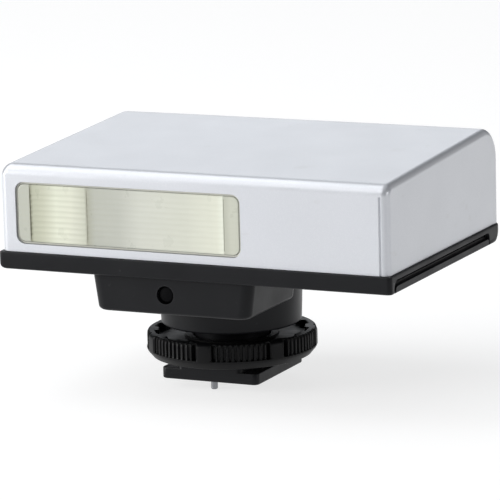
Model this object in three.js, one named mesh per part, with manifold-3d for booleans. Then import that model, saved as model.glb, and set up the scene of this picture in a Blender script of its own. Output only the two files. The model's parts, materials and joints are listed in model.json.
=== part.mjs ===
// A compact shoe-mount electronic flash: a wedge-shaped silver cover over a black base tray, a wide
// flash window in the left of the front, two cells in the right half, and a short pedestal that
// ends in a knurled lock ring and a hot-shoe foot.
// Millimetres, +Z up. The origin is the centre of the foot's underside, on the lock ring's axis.
// The flash window faces -Y, and the battery door slides out towards +X.
import * as THREE from 'three';
import { mergeVertices } from 'three/addons/utils/BufferGeometryUtils.js';
import Module from 'manifold-3d';

const wasm = await Module();
wasm.setup();

// ---------------------------------------------------------------- driving dimensions

const GAP = 0.1;                 // clearance between pieces that meet
const RUN = 0.3;                 // clearance between pieces that move past each other
const ARC = 4;                   // straight steps in a rounded corner

// Hot-shoe foot, after ISO 518
const FOOT = { width: 18.6, length: 19.6, corner: 1.0, flange: 2.0, neckWidth: 12.4, neckTop: 3.6 };
const FOOT_SCREW = { reach: 5.6, head: 1.45, shank: 0.75, countersink: 0.9, tip: 8.0 };
const PIN = { y: -7.7, radius: 0.6, tip: -1.7, top: 4.45, fit: 0.02 };
const CROSS_RECESS = 0.18;      // half the width of a screw's cross recess

// Screw ring that clamps the foot, and the plate under it that doesn't turn
const RING = { radius: 15.1, lowRadius: 14.2, bottom: 3.3, cone: 4.8, top: 7.8, floor: 6.6 };
const RING_CUTS = { bore: 6.9, recess: 12.0, recessTop: 4.7, rimInner: 12.8, hub: 8.3, hubTop: 6.9 };
const KNURL = { lobes: 7, phase: -84.4, lobeShare: 0.2, notchShare: 0.07, notchDepth: 1.1 };
const KNURL_RIBS = { count: 9, depth: 0.45 };
const PLATE = { radius: 11.7, bottom: 3.3, web: 3.9, top: 4.5 };

// Column, stem and pedestal below the base tray
const STEM = { radius: 6.6, bore: 4.1, bottom: 3.65 };
const COLUMN = { bottom: 9.1, lowRadius: 12.4, highRadius: 12.9, floor: 1.5, wall: 1.5 };
const PEDESTAL = { bottom: 14.8, front: -24.0, rear: -4.0, lowHalf: 14.4, highHalf: 15.3, corner: 1.6 };
const PEDESTAL_WALL = { side: 1.4, floor: 1.5, ease: 0.6 };
const SENSOR = { x: -1.0, z: 18.3, radius: 1.5, setBack: 0.35, depth: 1.2, rim: 0.5, rimDepth: 0.6 };
const PHOTO_CELL = { radius: 1.6, setBack: 2.4, depth: 2.2 };

// Contacts under the foot
const BLOCK = { radius: 3.9, flange: 5.6, flangeBottom: 10.7, top: 11.4 };
const CONTACT_STOP = 2.4;        // height of the step that stops each contact
const CENTRE = { x: 0, y: 0, tip: 1.2, head: 1.5, chamber: 1.7, reach: -0.9, coil: 1.2, wire: 0.18 };
const DATA = { x: 2.38, y: 1.38, tip: 0.5, head: 0.62, chamber: 0.78, reach: -0.7, coil: 0.5, wire: 0.11 };

// Silver cover and the base tray
const COVER = { left: -31.8, right: 40.9, front: -25.0, rear: 25.4, bottom: 24.4, wall: 1.2 };
const COVER_TOP = { front: 39.7, rear: 42.15 };
const COVER_ROUND = { plan: 1.4, frontTop: 2.0, rearTop: 6.0, sideTop: 1.2 };
const TRAY = { lip: 0.5, bottom: 21.3, floorTop: 22.9, rim: 1.8, chamfer: 0.35 };
const TRAY_CORNER = { front: 0.7, rear: 2.6, least: 0.3 };

// Flash window and lamp
const WINDOW = { left: -28.8, right: 14.0, bottom: 25.85, top: 36.7, corner: 1.6 };
const LENS = { gap: 0.35, front: -24.8, back: -22.6, ribPitch: 0.95, ribDepth: 0.35, ribInset: 3.0 };
const SEAL = { front: -24.55, back: -23.0, fit: 0.06 };
const REFLECTOR = { left: -28.1, right: 13.3, low: 26.5, high: 36.05, mouth: -22.3, depth: 10.2 };
const REFLECTOR_SHEET = { skin: 0.45, slope: 2.2 };
const TUBE = { y: -14.6, z: 31.3, radius: 1.9, bore: 1.35, left: -28.5, right: 13.5 };
const ELECTRODE = { radius: 1.2, length: 5.5, stickOut: 1.5 };
const HOLDER = { left: -30.3, right: 15.5, low: 27.0, high: 35.6, wall: 1.4 };
const HOLDER_ARM = { front: -17.4, low: 28.6, high: 34.0 };

// Battery bay
const CELL = { radius: 5.25, length: 44.0, z: 28.55 };
const CELLS = [{ x: 22.0, front: -21.15 }, { x: 32.7, front: -22.5 }];
const CELL_CONTACT = { thickness: 0.3, reach: 3.5 };
const CELL_SPRING = { radius: 3.4, endRadius: 2.0, turns: 2.5, wire: 0.16 };
const BAY = { left: 15.9, right: 39.1, front: -23.6, rear: 24.0, top: 34.7, wall: 0.6, corner: 0.9 };
const BAY_RIB = { depth: 2.4, width: 0.3, setBack: 4.0 };
const DOOR = { left: 16.4, right: 41.4, front: -22.4, rear: 18.2, lipTop: 22.45 };
const DOOR_TONGUE = { reach: 0.8, low: 22.1, high: 22.9 };
const DOOR_GRIP = { count: 6, pitch: 1.4, width: 0.7, depth: 0.4, inset: 8.0, front: -8.0, rear: 5.0 };
const GROOVE = { front: -23.9, rear: 19.4, top: 23.6, depth: 0.8, corner: 1.1 };
const SLACK = 0.2;               // clearance round the sliding door

// Rear control panel
const PANEL = { left: -22.0, right: 10.0, bottom: 26.4, top: 34.6, corner: 1.2, z: 30.5 };
const SLIDER = { width: 3.6, height: 3.0, face: 26.5, slot: 0.3, groovePitch: 1.1, grooveDepth: 0.35 };
const POWER = { x: -18.6, travel: 3.0 };
const SELECTOR = { x: -9.4, travel: 6.0 };
const TEST_BUTTON = { x: 7.2, radius: 1.9, face: 26.1 };
const SWITCH_HALF = 2.6;
const LAMPS = [{ name: 'ready_lamp', x: 3.4, radius: 1.1 }, { name: 'check_lamp', x: 0.4, radius: 0.8 }];

// Circuit
const BOARD = { left: -25.6, right: 11.0, front: 9.2, rear: 20.0, bottom: 23.5, top: 24.7 };
const REAR_BOARD = { front: 20.3, back: 21.1, left: -25.4, right: 10.8, bottom: 25.4, top: 35.0 };
const CAPACITOR = { left: -24.6, right: 9.0, radius: 6.5, y: 1.2, z: 31.6 };
const TRANSFORMER = { left: -24.0, right: -13.0, front: 9.8, rear: 19.2, height: 9.0, gap: 1.8, leg: 1.6 };
const COIL = { x: -7.6, y: 14.6, cheek: 3.2, winding: 2.7, cheekDepth: 0.8, height: 7.2 };
const FILM = { left: -2.8, right: 2.6, front: 10.4, rear: 13.0, corner: 0.8, height: 6.5 };
const TRANSISTOR = { left: -2.8, right: 2.4, front: 14.8, rear: 17.0, height: 5.4 };
const TRANSISTOR_TAB = { front: 16.0, top: 8.0, hole: 0.8 };
const CHIP = { left: 4.4, right: 9.4, front: 11.0, rear: 17.6, height: 1.6 };
const LEAD_RADIUS = 0.4;
const LEADS = {
  contact_lead: [[2.0, 3.0, 12.45], [2.0, 4.0, 15.0], [1.0, 7.5, 19.0], [0, 9.6, 22.2], [0, 9.65, 23.35]],
  trigger_lead: [[-7.6, 14.6, 32.4], [-5.5, 13.5, 34.5], [1.5, 14.0, 35.2], [8.0, 12.5, 34.8],
    [10.2, 8.0, 34.0], [10.2, 0, 33.5], [10.0, -6.0, 33.2], [9.5, -10.2, 33.0]],
  battery_lead: [[15.5, 2.0, 30.5], [13.6, 3.4, 30.0], [11.4, 5.6, 28.0], [10.2, 8.6, 26.7],
    [9.8, 10.2, 25.2]],
};

const CASE_SCREWS = [[-28.2, -5.0], [-28.2, 21.4], [13.5, 9.0], [13.5, 21.5]];
const CASE_SCREW = { head: 1.55, headDepth: 0.5, shank: 0.75, length: 9.0 };
const SCREW_POST = { seat: 1.75, seatDepth: 0.55, radius: 2.0 };

// ---------------------------------------------------------------- materials

function paint(color, roughness, metalness, opacity = 1) {
  const look = new THREE.MeshStandardMaterial({ color, roughness, metalness });
  look.opacity = opacity;
  look.transparent = opacity < 1;
  return look;
}

const LOOKS = {
  silver: paint(0xd4d7de, 0.38, 0.55),
  black: paint(0x2c2d30, 0.55, 0.0),
  ring: paint(0x1c1d1f, 0.5, 0.0),
  lens: paint(0xd7dacd, 0.12, 0.0, 0.5),
  gasket: paint(0x202020, 0.8, 0.0),
  mirror: paint(0xe8e8e4, 0.15, 1.0),
  glass: paint(0xf0f2f2, 0.05, 0.0, 0.4),
  white: paint(0xe6e4dc, 0.6, 0.0),
  steel: paint(0xb8bbc0, 0.3, 1.0),
  brass: paint(0xc9a85c, 0.3, 1.0),
  board: paint(0x1f5a3a, 0.6, 0.0),
  sleeve: paint(0x15161c, 0.4, 0.0),
  chip: paint(0x17181a, 0.6, 0.0),
  copper: paint(0xb06a3a, 0.35, 0.9),
  cell: paint(0x6d7278, 0.35, 0.6),
  amber: paint(0xc8742a, 0.2, 0.0, 0.7),
  dark: paint(0x0c0c10, 0.1, 0.0),
  wire: paint(0xa03028, 0.5, 0.0),
};

// ---------------------------------------------------------------- solid helpers

function toSolid(source) {
  const geometry = source.index ? source.toNonIndexed() : source;
  geometry.deleteAttribute('normal');
  geometry.deleteAttribute('uv');
  const merged = mergeVertices(geometry, 1e-4);
  const mesh = new wasm.Mesh({
    numProp: 3,
    vertProperties: new Float32Array(merged.attributes.position.array),
    triVerts: new Uint32Array(merged.index.array),
  });
  return new wasm.Manifold(mesh);
}

function toGeometry(solid) {
  const mesh = solid.getMesh();
  const geometry = new THREE.BufferGeometry();
  geometry.setAttribute('position', new THREE.BufferAttribute(mesh.vertProperties, mesh.numProp));
  geometry.setIndex(new THREE.BufferAttribute(mesh.triVerts, 1));
  geometry.computeVertexNormals();
  return geometry;
}

function block(x0, x1, y0, y1, z0, z1) {
  const geometry = new THREE.BoxGeometry(x1 - x0, y1 - y0, z1 - z0);
  geometry.translate((x0 + x1) / 2, (y0 + y1) / 2, (z0 + z1) / 2);
  return toSolid(geometry);
}

// A solid of revolution about a vertical axis through (x, y). The profile is [radius, z] pairs.
function turned(profile, segments, x = 0, y = 0) {
  const points = profile.map(([r, z]) => new THREE.Vector2(r, z));
  const geometry = new THREE.LatheGeometry(points, segments);
  geometry.rotateX(Math.PI / 2);
  geometry.translate(x, y, 0);
  return toSolid(geometry);
}

function disc(radius, z0, z1, segments, x = 0, y = 0) {
  return turned([[0, z0], [radius, z0], [radius, z1], [0, z1]], segments, x, y);
}

function tube(outer, inner, z0, z1, segments, x = 0, y = 0) {
  return turned([[inner, z0], [outer, z0], [outer, z1], [inner, z1], [inner, z0]], segments, x, y);
}

// The same solids with their axis along X or along Y, through the other two coordinates.
function alongX(profile, segments, y, z) {
  const points = profile.map(([r, x]) => new THREE.Vector2(r, x));
  const geometry = new THREE.LatheGeometry(points, segments);
  geometry.rotateZ(-Math.PI / 2);
  geometry.translate(0, y, z);
  return toSolid(geometry);
}

function alongY(profile, segments, x, z) {
  const points = profile.map(([r, y]) => new THREE.Vector2(r, y));
  const geometry = new THREE.LatheGeometry(points, segments);
  geometry.translate(x, 0, z);
  return toSolid(geometry);
}

function discY(radius, y0, y1, segments, x, z) {
  return alongY([[0, y0], [radius, y0], [radius, y1], [0, y1]], segments, x, z);
}

function roundedRectangle(x0, x1, y0, y1, r) {
  const shape = new THREE.Shape();
  shape.absarc(x1 - r, y0 + r, r, -Math.PI / 2, 0, false);
  shape.absarc(x1 - r, y1 - r, r, 0, Math.PI / 2, false);
  shape.absarc(x0 + r, y1 - r, r, Math.PI / 2, Math.PI, false);
  shape.absarc(x0 + r, y0 + r, r, Math.PI, Math.PI * 1.5, false);
  shape.closePath();
  return shape;
}

function extruded(shape, depth) {
  return new THREE.ExtrudeGeometry(shape, { depth, bevelEnabled: false, curveSegments: ARC });
}

// A shape drawn in X and Y, raised from z0 to z1.
function raised(shape, z0, z1) {
  const geometry = extruded(shape, z1 - z0);
  geometry.translate(0, 0, z0);
  return toSolid(geometry);
}

// A shape drawn in X and Z, carried from y0 to y1.
function carriedY(shape, y0, y1) {
  const geometry = extruded(shape, y1 - y0);
  geometry.rotateX(Math.PI / 2);
  geometry.translate(0, y1, 0);
  return toSolid(geometry);
}

// A shape drawn in Y and Z, carried from x0 to x1.
function carriedX(shape, x0, x1) {
  const geometry = extruded(shape, x1 - x0);
  geometry.rotateY(Math.PI / 2);
  geometry.rotateX(Math.PI / 2);
  geometry.translate(x0, 0, 0);
  return toSolid(geometry);
}

// A closed solid through a stack of level outlines that all have the same number of points.
function stacked(levels) {
  const count = levels[0].points.length;
  const positions = [];
  const indices = [];
  for (const { points, z } of levels) {
    for (const point of points) positions.push(point.x, point.y, z);
  }
  for (let level = 0; level + 1 < levels.length; level += 1) {
    for (let i = 0; i < count; i += 1) {
      const a = level * count + i;
      const b = level * count + (i + 1) % count;
      indices.push(a, b, b + count, a, b + count, a + count);
    }
  }
  const top = (levels.length - 1) * count;
  for (const [a, b, c] of THREE.ShapeUtils.triangulateShape(levels[0].points, [])) {
    indices.push(a, c, b);
    indices.push(top + a, top + b, top + c);
  }
  const geometry = new THREE.BufferGeometry();
  geometry.setAttribute('position', new THREE.Float32BufferAttribute(positions, 3));
  geometry.setIndex(indices);
  return toSolid(geometry);
}

function outline(shape) {
  const points = shape.getPoints(ARC);
  const last = points[points.length - 1];
  if (last.distanceTo(points[0]) < 1e-6) points.pop();
  return points;
}

function joined(solids) {
  return solids.reduce((whole, solid) => whole.add(solid));
}

function without(solid, cutters) {
  return solid.subtract(joined(cutters));
}

// A helical spring about a vertical axis, with wire of a six-sided section.
class Helix extends THREE.Curve {
  constructor(radius, endRadius, turns, length) {
    super();
    Object.assign(this, { radius, endRadius, turns, length });
  }

  getPoint(t, target = new THREE.Vector3()) {
    const angle = t * this.turns * 2 * Math.PI;
    const r = this.radius + (this.endRadius - this.radius) * t;
    return target.set(r * Math.cos(angle), r * Math.sin(angle), this.length * t);
  }
}

function spring({ radius, endRadius = radius, turns, length, wire }) {
  const section = new THREE.Shape();
  section.absarc(0, 0, wire, 0, 2 * Math.PI, false);
  const path = new Helix(radius, endRadius, turns, length);
  const steps = Math.round(turns * 8);
  return new THREE.ExtrudeGeometry(section, {
    extrudePath: path, steps, curveSegments: 3, bevelEnabled: false });
}

// A screw seen from its head, which is at z = 0 with the shank above it.
function screw({ head, headDepth, shank, length }) {
  const body = turned([[0, 0], [head, 0], [shank, headDepth], [shank, length], [0, length]], 12);
  const slot = head * 0.65;
  const cross = [
    block(-slot, slot, -CROSS_RECESS, CROSS_RECESS, -1, headDepth * 0.55),
    block(-CROSS_RECESS, CROSS_RECESS, -slot, slot, -1, headDepth * 0.55),
  ];
  return without(body, cross);
}

// ---------------------------------------------------------------- foot, ring and contacts

function footPlate() {
  const half = FOOT.width / 2;
  const reach = FOOT.length / 2;
  const neck = FOOT.neckWidth / 2;
  const flange = raised(roundedRectangle(-half, half, -reach, reach, FOOT.corner), 0, FOOT.flange);
  const rails = raised(roundedRectangle(-neck, neck, -reach, reach, FOOT.corner), FOOT.flange, FOOT.neckTop);
  const holes = [
    disc(BLOCK.radius + GAP, -1, FOOT.neckTop + 1, 32),
    disc(PIN.radius + GAP, -1, FOOT.neckTop + 1, 16, 0, PIN.y),
  ];
  const { head, shank, countersink } = FOOT_SCREW;
  for (const [x, y] of footScrewPlaces()) {
    const reachIn = head + GAP;
    const seat = [[0, -1], [reachIn, -1], [reachIn, 0.2], [shank + GAP, 0.2 + countersink]];
    holes.push(turned([...seat, [shank + GAP, FOOT.neckTop + 1], [0, FOOT.neckTop + 1]], 12, x, y));
  }
  return without(flange.add(rails), holes);
}

function footScrewPlaces() {
  const offset = FOOT_SCREW.reach * Math.SQRT1_2;
  return [[-offset, -offset], [offset, -offset], [-offset, offset], [offset, offset]];
}

// The rim's outline: panels of fine ribs between smooth lobes, with a notch at each side of a lobe.
function rimOutline() {
  const points = [];
  const sector = 360 / KNURL.lobes;
  const lobe = sector * KNURL.lobeShare;
  const notch = sector * KNURL.notchShare;
  const panel = sector - lobe - 2 * notch;
  const add = (degrees, radius) => {
    const angle = THREE.MathUtils.degToRad(degrees + KNURL.phase);
    points.push(new THREE.Vector2(radius * Math.cos(angle), radius * Math.sin(angle)));
  };
  for (let i = 0; i < KNURL.lobes; i += 1) {
    const start = i * sector - lobe / 2;
    for (let step = 0; step <= 3; step += 1) add(start + lobe * step / 3, RING.radius);
    add(start + lobe + notch * 0.15, RING.radius - KNURL.notchDepth);
    add(start + lobe + notch * 0.85, RING.radius - KNURL.notchDepth);
    const rib = panel / KNURL_RIBS.count;
    for (let r = 0; r < KNURL_RIBS.count; r += 1) {
      const from = start + lobe + notch + r * rib;
      add(from + rib * 0.1, RING.radius - 0.1);
      add(from + rib * 0.5, RING.radius - 0.1);
      add(from + rib * 0.6, RING.radius - KNURL_RIBS.depth);
      add(from + rib, RING.radius - KNURL_RIBS.depth);
    }
    add(start + sector - notch * 0.85, RING.radius - KNURL.notchDepth);
    add(start + sector - notch * 0.15, RING.radius - KNURL.notchDepth);
  }
  return new THREE.Shape(points);
}

function lockRing() {
  const rim = raised(rimOutline(), RING.cone, RING.top);
  const skirt = turned(
    [[0, RING.bottom], [RING.lowRadius, RING.bottom], [RING.radius, RING.cone], [0, RING.cone]], 64);
  const { bore, recess, recessTop, rimInner, hub, hubTop } = RING_CUTS;
  const cuts = [
    disc(rimInner, hubTop, RING.top + 1, 64),
    tube(rimInner, hub, RING.floor, hubTop + GAP, 64),
    disc(bore, RING.bottom - 1, RING.top + 1, 48),
    disc(recess, RING.bottom - 1, recessTop, 64),
  ];
  return without(rim.add(skirt), cuts);
}

// The plate lies in the ring's underside. Its two feet reach past the neck and bear on the shoe's rails.
function pressurePlate() {
  const web = disc(PLATE.radius, PLATE.web, PLATE.top, 48);
  const feet = disc(PLATE.radius, PLATE.bottom, PLATE.web, 48);
  const neck = FOOT.neckWidth / 2 + RUN;
  const passage = block(-neck, neck, -PLATE.radius - 1, PLATE.radius + 1, PLATE.bottom - 1, PLATE.web);
  const cuts = [
    disc(STEM.radius + RUN, PLATE.bottom - 1, PLATE.top + 1, 48),
    disc(PIN.radius + PIN.fit, PLATE.bottom - 1, PLATE.top + 1, 16, 0, PIN.y),
  ];
  return without(web.add(feet.subtract(passage)), cuts);
}

function lockPin() {
  const { radius, tip, top, y } = PIN;
  return turned([[0, tip], [radius - 0.2, tip], [radius, tip + 0.25], [radius, top], [0, top]], 16, 0, y);
}

function contactPlaces() {
  return [
    { name: 'centre_contact', ...CENTRE },
    { name: 'data_contact_left', ...DATA, x: -DATA.x },
    { name: 'data_contact_right', ...DATA },
  ];
}

function contactBlock() {
  const body = disc(BLOCK.radius, 0.05, BLOCK.flangeBottom, 32);
  const flange = disc(BLOCK.flange, BLOCK.flangeBottom, BLOCK.top, 32);
  const holes = contactPlaces().map(({ x, y, tip, chamber }) => turned([
    [0, -1], [tip + GAP, -1], [tip + GAP, CONTACT_STOP], [chamber, CONTACT_STOP],
    [chamber, BLOCK.top + 1], [0, BLOCK.top + 1]], 16, x, y));
  return without(body.add(flange), holes);
}

function contact({ x, y, tip, head, reach }) {
  const bevel = tip * 0.35;
  const shoulder = CONTACT_STOP + GAP;
  return turned([
    [0, reach], [tip - bevel, reach], [tip, reach + bevel], [tip, shoulder],
    [head, shoulder], [head, shoulder + 0.6], [0, shoulder + 0.6]], 20, x, y);
}

function contactSpring({ x, y, coil, wire }) {
  const start = CONTACT_STOP + GAP + 0.6 + wire + 0.12;
  const length = BLOCK.top - wire - 0.12 - start;
  const geometry = spring({ radius: coil, turns: 4, length, wire });
  geometry.translate(x, y, start);
  return toSolid(geometry);
}

// ---------------------------------------------------------------- pedestal and column

function pedestalOutline(half, front, rear) {
  return outline(roundedRectangle(-half, half, front, rear, PEDESTAL.corner));
}

function pedestalBody(inset, bottom) {
  const { front, rear, lowHalf, highHalf } = PEDESTAL;
  const ease = inset > 0 ? 0 : PEDESTAL_WALL.ease;
  const sole = inset + ease;
  return stacked([
    { points: pedestalOutline(lowHalf - sole, front + sole, rear - sole), z: bottom },
    { points: pedestalOutline(lowHalf - inset, front + inset, rear - inset), z: bottom + ease + 0.1 },
    { points: pedestalOutline(highHalf - inset, front + inset, rear - inset), z: TRAY.bottom - GAP / 2 },
  ]);
}

function housing() {
  const top = TRAY.bottom - GAP / 2;
  const { bottom, lowRadius, highRadius, floor, wall } = COLUMN;
  const column = turned([
    [0, STEM.bottom], [STEM.radius, STEM.bottom], [STEM.radius, bottom], [lowRadius - 0.3, bottom],
    [lowRadius, bottom + 0.3], [highRadius, top], [0, top]], 48);
  const base = bottom + floor;
  const room = turned([
    [0, base], [lowRadius - wall, base], [highRadius - wall, top + 1], [0, top + 1]], 36);
  const cuts = [
    room,
    pedestalBody(PEDESTAL_WALL.side, PEDESTAL.bottom + PEDESTAL_WALL.floor),
    disc(STEM.bore, STEM.bottom - 1, base + 1, 32),
    discY(SENSOR.radius + GAP, PEDESTAL.front - 1, PEDESTAL.front + 3, 24, SENSOR.x, SENSOR.z),
  ];
  for (const [x, y] of footScrewPlaces()) {
    cuts.push(disc(FOOT_SCREW.shank + GAP, STEM.bottom - 1, FOOT_SCREW.tip + 0.3, 12, x, y));
  }
  return without(column.add(pedestalBody(0, PEDESTAL.bottom)), cuts);
}

function sensorWindow() {
  const { radius, x, z, setBack, depth, rim, rimDepth } = SENSOR;
  const front = PEDESTAL.front + setBack;
  const step = front + depth;
  return alongY([
    [0, front], [radius, front], [radius, step], [radius + rim, step],
    [radius + rim, step + rimDepth], [0, step + rimDepth]], 24, x, z);
}

function photoCell() {
  const front = PEDESTAL.front + PHOTO_CELL.setBack;
  return discY(PHOTO_CELL.radius, front, front + PHOTO_CELL.depth, 20, SENSOR.x, SENSOR.z);
}

// ---------------------------------------------------------------- cover, tray and door

function topAt(y) {
  const share = (y - COVER.front) / (COVER.rear - COVER.front);
  return COVER_TOP.front + (COVER_TOP.rear - COVER_TOP.front) * share;
}

// The cover seen from its side: a low front, a top that rises to the rear, and a deep curve down the back.
// BEND sets how far each corner's Bezier handles reach, so that it is close to a circular arc.
const BEND = 0.448;

function sideProfile(inset, bottom) {
  const front = COVER.front + inset;
  const rear = COVER.rear - inset;
  const small = Math.max(COVER_ROUND.frontTop - inset, 0.3);
  const large = COVER_ROUND.rearTop - inset;
  const lift = (y) => topAt(y) - inset;
  const shape = new THREE.Shape();
  shape.moveTo(front, bottom);
  shape.lineTo(rear, bottom);
  shape.lineTo(rear, lift(rear) - large);
  shape.bezierCurveTo(rear, lift(rear) - large * BEND, rear - large * BEND, lift(rear - large * BEND),
    rear - large, lift(rear - large));
  shape.lineTo(front + small, lift(front + small));
  shape.bezierCurveTo(front + small * BEND, lift(front + small * BEND), front, lift(front) - small * BEND,
    front, lift(front) - small);
  shape.closePath();
  return shape;
}

// The front profile is tall enough for the rear, and its upper corners follow the sloping top.
function sideRounding(inset) {
  const left = COVER.left + inset;
  const right = COVER.right - inset;
  const radius = Math.max(COVER_ROUND.sideTop - inset, 0.4);
  const slope = (COVER_TOP.rear - COVER_TOP.front) / (COVER.rear - COVER.front);
  const front = COVER.front - 5;
  const profile = roundedRectangle(left, right, -20, topAt(front) - inset, radius);
  const length = COVER.rear - COVER.front + 10;
  const geometry = extruded(profile, length);
  geometry.rotateX(Math.PI / 2);
  geometry.translate(0, front + length, 0);
  const shear = new THREE.Matrix4().set(1, 0, 0, 0, 0, 1, 0, 0, 0, slope, 1, -slope * front, 0, 0, 0, 1);
  geometry.applyMatrix4(shear);
  return toSolid(geometry);
}

function coverBody(inset, bottom) {
  const side = carriedX(sideProfile(inset, bottom), COVER.left + inset, COVER.right - inset);
  const plan = raised(roundedRectangle(
    COVER.left + inset, COVER.right - inset, COVER.front + inset, COVER.rear - inset,
    Math.max(COVER_ROUND.plan - inset, 0.4)), bottom, COVER_TOP.rear + 1);
  return side.intersect(plan).intersect(sideRounding(inset));
}

function topCover() {
  const shell = coverBody(0, COVER.bottom).subtract(coverBody(COVER.wall, COVER.bottom - 1));
  const { left, right, bottom, top, corner } = WINDOW;
  const opening = roundedRectangle(left, right, bottom, top, corner);
  const windowHole = carriedY(opening, COVER.front - 1, COVER.front + 2);
  const panelHole = carriedY(roundedRectangle(
    PANEL.left, PANEL.right, PANEL.bottom, PANEL.top, PANEL.corner), COVER.rear - 2, COVER.rear + 1);
  const room = coverBody(COVER.wall * 0.6, COVER.bottom - 1);
  const bore = CASE_SCREW.shank + GAP;
  const posts = CASE_SCREWS.map(([x, y]) => tube(
    SCREW_POST.radius, bore, COVER.bottom + 0.4, COVER_TOP.rear, 12, x, y));
  return without(shell, [windowHole, panelHole]).add(joined(posts).intersect(room));
}

// The tray's plan: nearly square corners at the front and round ones at the rear.
function trayOutline(inset) {
  const { lip } = TRAY;
  const x0 = COVER.left - lip + inset;
  const x1 = COVER.right + lip - inset;
  const y0 = COVER.front - lip + inset;
  const y1 = COVER.rear + lip - inset;
  const front = Math.max(TRAY_CORNER.front - inset * 0.5, TRAY_CORNER.least);
  const rear = TRAY_CORNER.rear - inset * 0.5;
  const shape = new THREE.Shape();
  shape.absarc(x1 - front, y0 + front, front, -Math.PI / 2, 0, false);
  shape.absarc(x1 - rear, y1 - rear, rear, 0, Math.PI / 2, false);
  shape.absarc(x0 + rear, y1 - rear, rear, Math.PI / 2, Math.PI, false);
  shape.absarc(x0 + front, y0 + front, front, Math.PI, Math.PI * 1.5, false);
  shape.closePath();
  return outline(shape);
}

// The recess in the tray's right side: it runs above the door's end and comes down in front of it.
function sideGroove() {
  const { front, rear, top, depth, corner } = GROOVE;
  const shape = roundedRectangle(front, rear, TRAY.bottom - 5, top, corner);
  return carriedX(shape, DOOR.right - depth, DOOR.right + 1);
}

function baseTray() {
  const { bottom, floorTop, rim, chamfer } = TRAY;
  const edge = COVER.bottom - GAP / 2;
  const body = stacked([
    { points: trayOutline(chamfer), z: bottom },
    { points: trayOutline(chamfer * 0.3), z: bottom + chamfer * 0.3 },
    { points: trayOutline(0), z: bottom + chamfer },
    { points: trayOutline(0), z: edge },
  ]);
  const pan = raised(new THREE.Shape(trayOutline(rim)), floorTop, edge + 1);
  const { left, right, front, rear } = DOOR;
  const high = DOOR_TONGUE.high + SLACK;
  const y0 = front - DOOR_TONGUE.reach - SLACK;
  const y1 = rear + DOOR_TONGUE.reach + SLACK;
  const cuts = [
    pan,
    block(left - SLACK, right + 1, front - SLACK, rear + SLACK, bottom - 1, high),
    block(left - SLACK, right + 1, y0, y1, DOOR_TONGUE.low, high),
    block(right - rim - SLACK, right + 1, y0, y1, bottom - 1, high),
    sideGroove(),
    disc(COLUMN.highRadius - COLUMN.wall - 1, bottom - 1, floorTop + 1, 32),
  ];
  const { seat, seatDepth, radius } = SCREW_POST;
  const bore = CASE_SCREW.shank + 2 * GAP;
  for (const [x, y] of CASE_SCREWS) {
    cuts.push(disc(seat, bottom - 1, bottom + seatDepth, 12, x, y));
    cuts.push(disc(bore, bottom, floorTop + 1, 12, x, y));
  }
  const lift = COVER.bottom + 0.3;
  const feet = CASE_SCREWS.map(([x, y]) => tube(radius, bore, floorTop, lift, 12, x, y));
  return joined([without(body, cuts), ...feet]);
}

// The door's end fills the tray's side opening. Its outer lip is low, which leaves the groove open above it.
function batteryDoor() {
  const { left, right, front, rear, lipTop } = DOOR;
  const { reach, low, high } = DOOR_TONGUE;
  const { bottom, chamfer, rim } = TRAY;
  const y0 = front - reach;
  const y1 = rear + reach;
  const plate = block(left, right - rim, front, rear, bottom, high);
  const tongues = block(left, right - rim, y0, y1, low + SLACK, high);
  const end = block(right - rim, right - GROOVE.depth, y0, y1, bottom, high);
  const lip = raised(roundedRectangle(right - 4, right, y0, y1, 0.4), bottom, lipTop);
  const trim = block(right - 5, right - rim, y0 - 1, y1 + 1, bottom - 1, lipTop + 1);
  const corner = new THREE.Shape([
    new THREE.Vector2(right + 1, bottom - 1), new THREE.Vector2(right - chamfer - 1, bottom - 1),
    new THREE.Vector2(right + 1, bottom + chamfer + 1),
  ]);
  const edge = carriedY(corner, y0 - 1, y1 + 1);
  const grips = [];
  const grip = DOOR_GRIP;
  for (let i = 0; i < grip.count; i += 1) {
    const x = right - grip.inset - i * grip.pitch;
    grips.push(block(x, x + grip.width, grip.front, grip.rear, bottom - 1, bottom + grip.depth));
  }
  return without(joined([plate, tongues, end, lip.subtract(trim)]), [edge, ...grips]);
}

// ---------------------------------------------------------------- flash head

function lensPanel() {
  const { gap, front, back, ribPitch, ribDepth, ribInset } = LENS;
  const { left, right, bottom, top, corner } = WINDOW;
  const shape = roundedRectangle(left + gap, right - gap, bottom + gap, top - gap, corner - gap);
  const plate = carriedY(shape, front, back);
  const ribs = [];
  const high = top - 1.2;
  const width = ribPitch * 0.45;
  for (let z = bottom + 1.3; z + width < high; z += ribPitch) {
    ribs.push(block(left + ribInset, right - ribInset, back - ribDepth, back + 1, z, z + width));
  }
  return without(plate, ribs);
}

function windowGasket() {
  const { left, right, bottom, top, corner } = WINDOW;
  const shape = (inset) => roundedRectangle(
    left + inset, right - inset, bottom + inset, top - inset, corner - inset);
  const outer = carriedY(shape(SEAL.fit), SEAL.front, SEAL.back);
  return outer.subtract(carriedY(shape(LENS.gap - GAP / 2), SEAL.front - 1, SEAL.back + 1));
}

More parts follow.
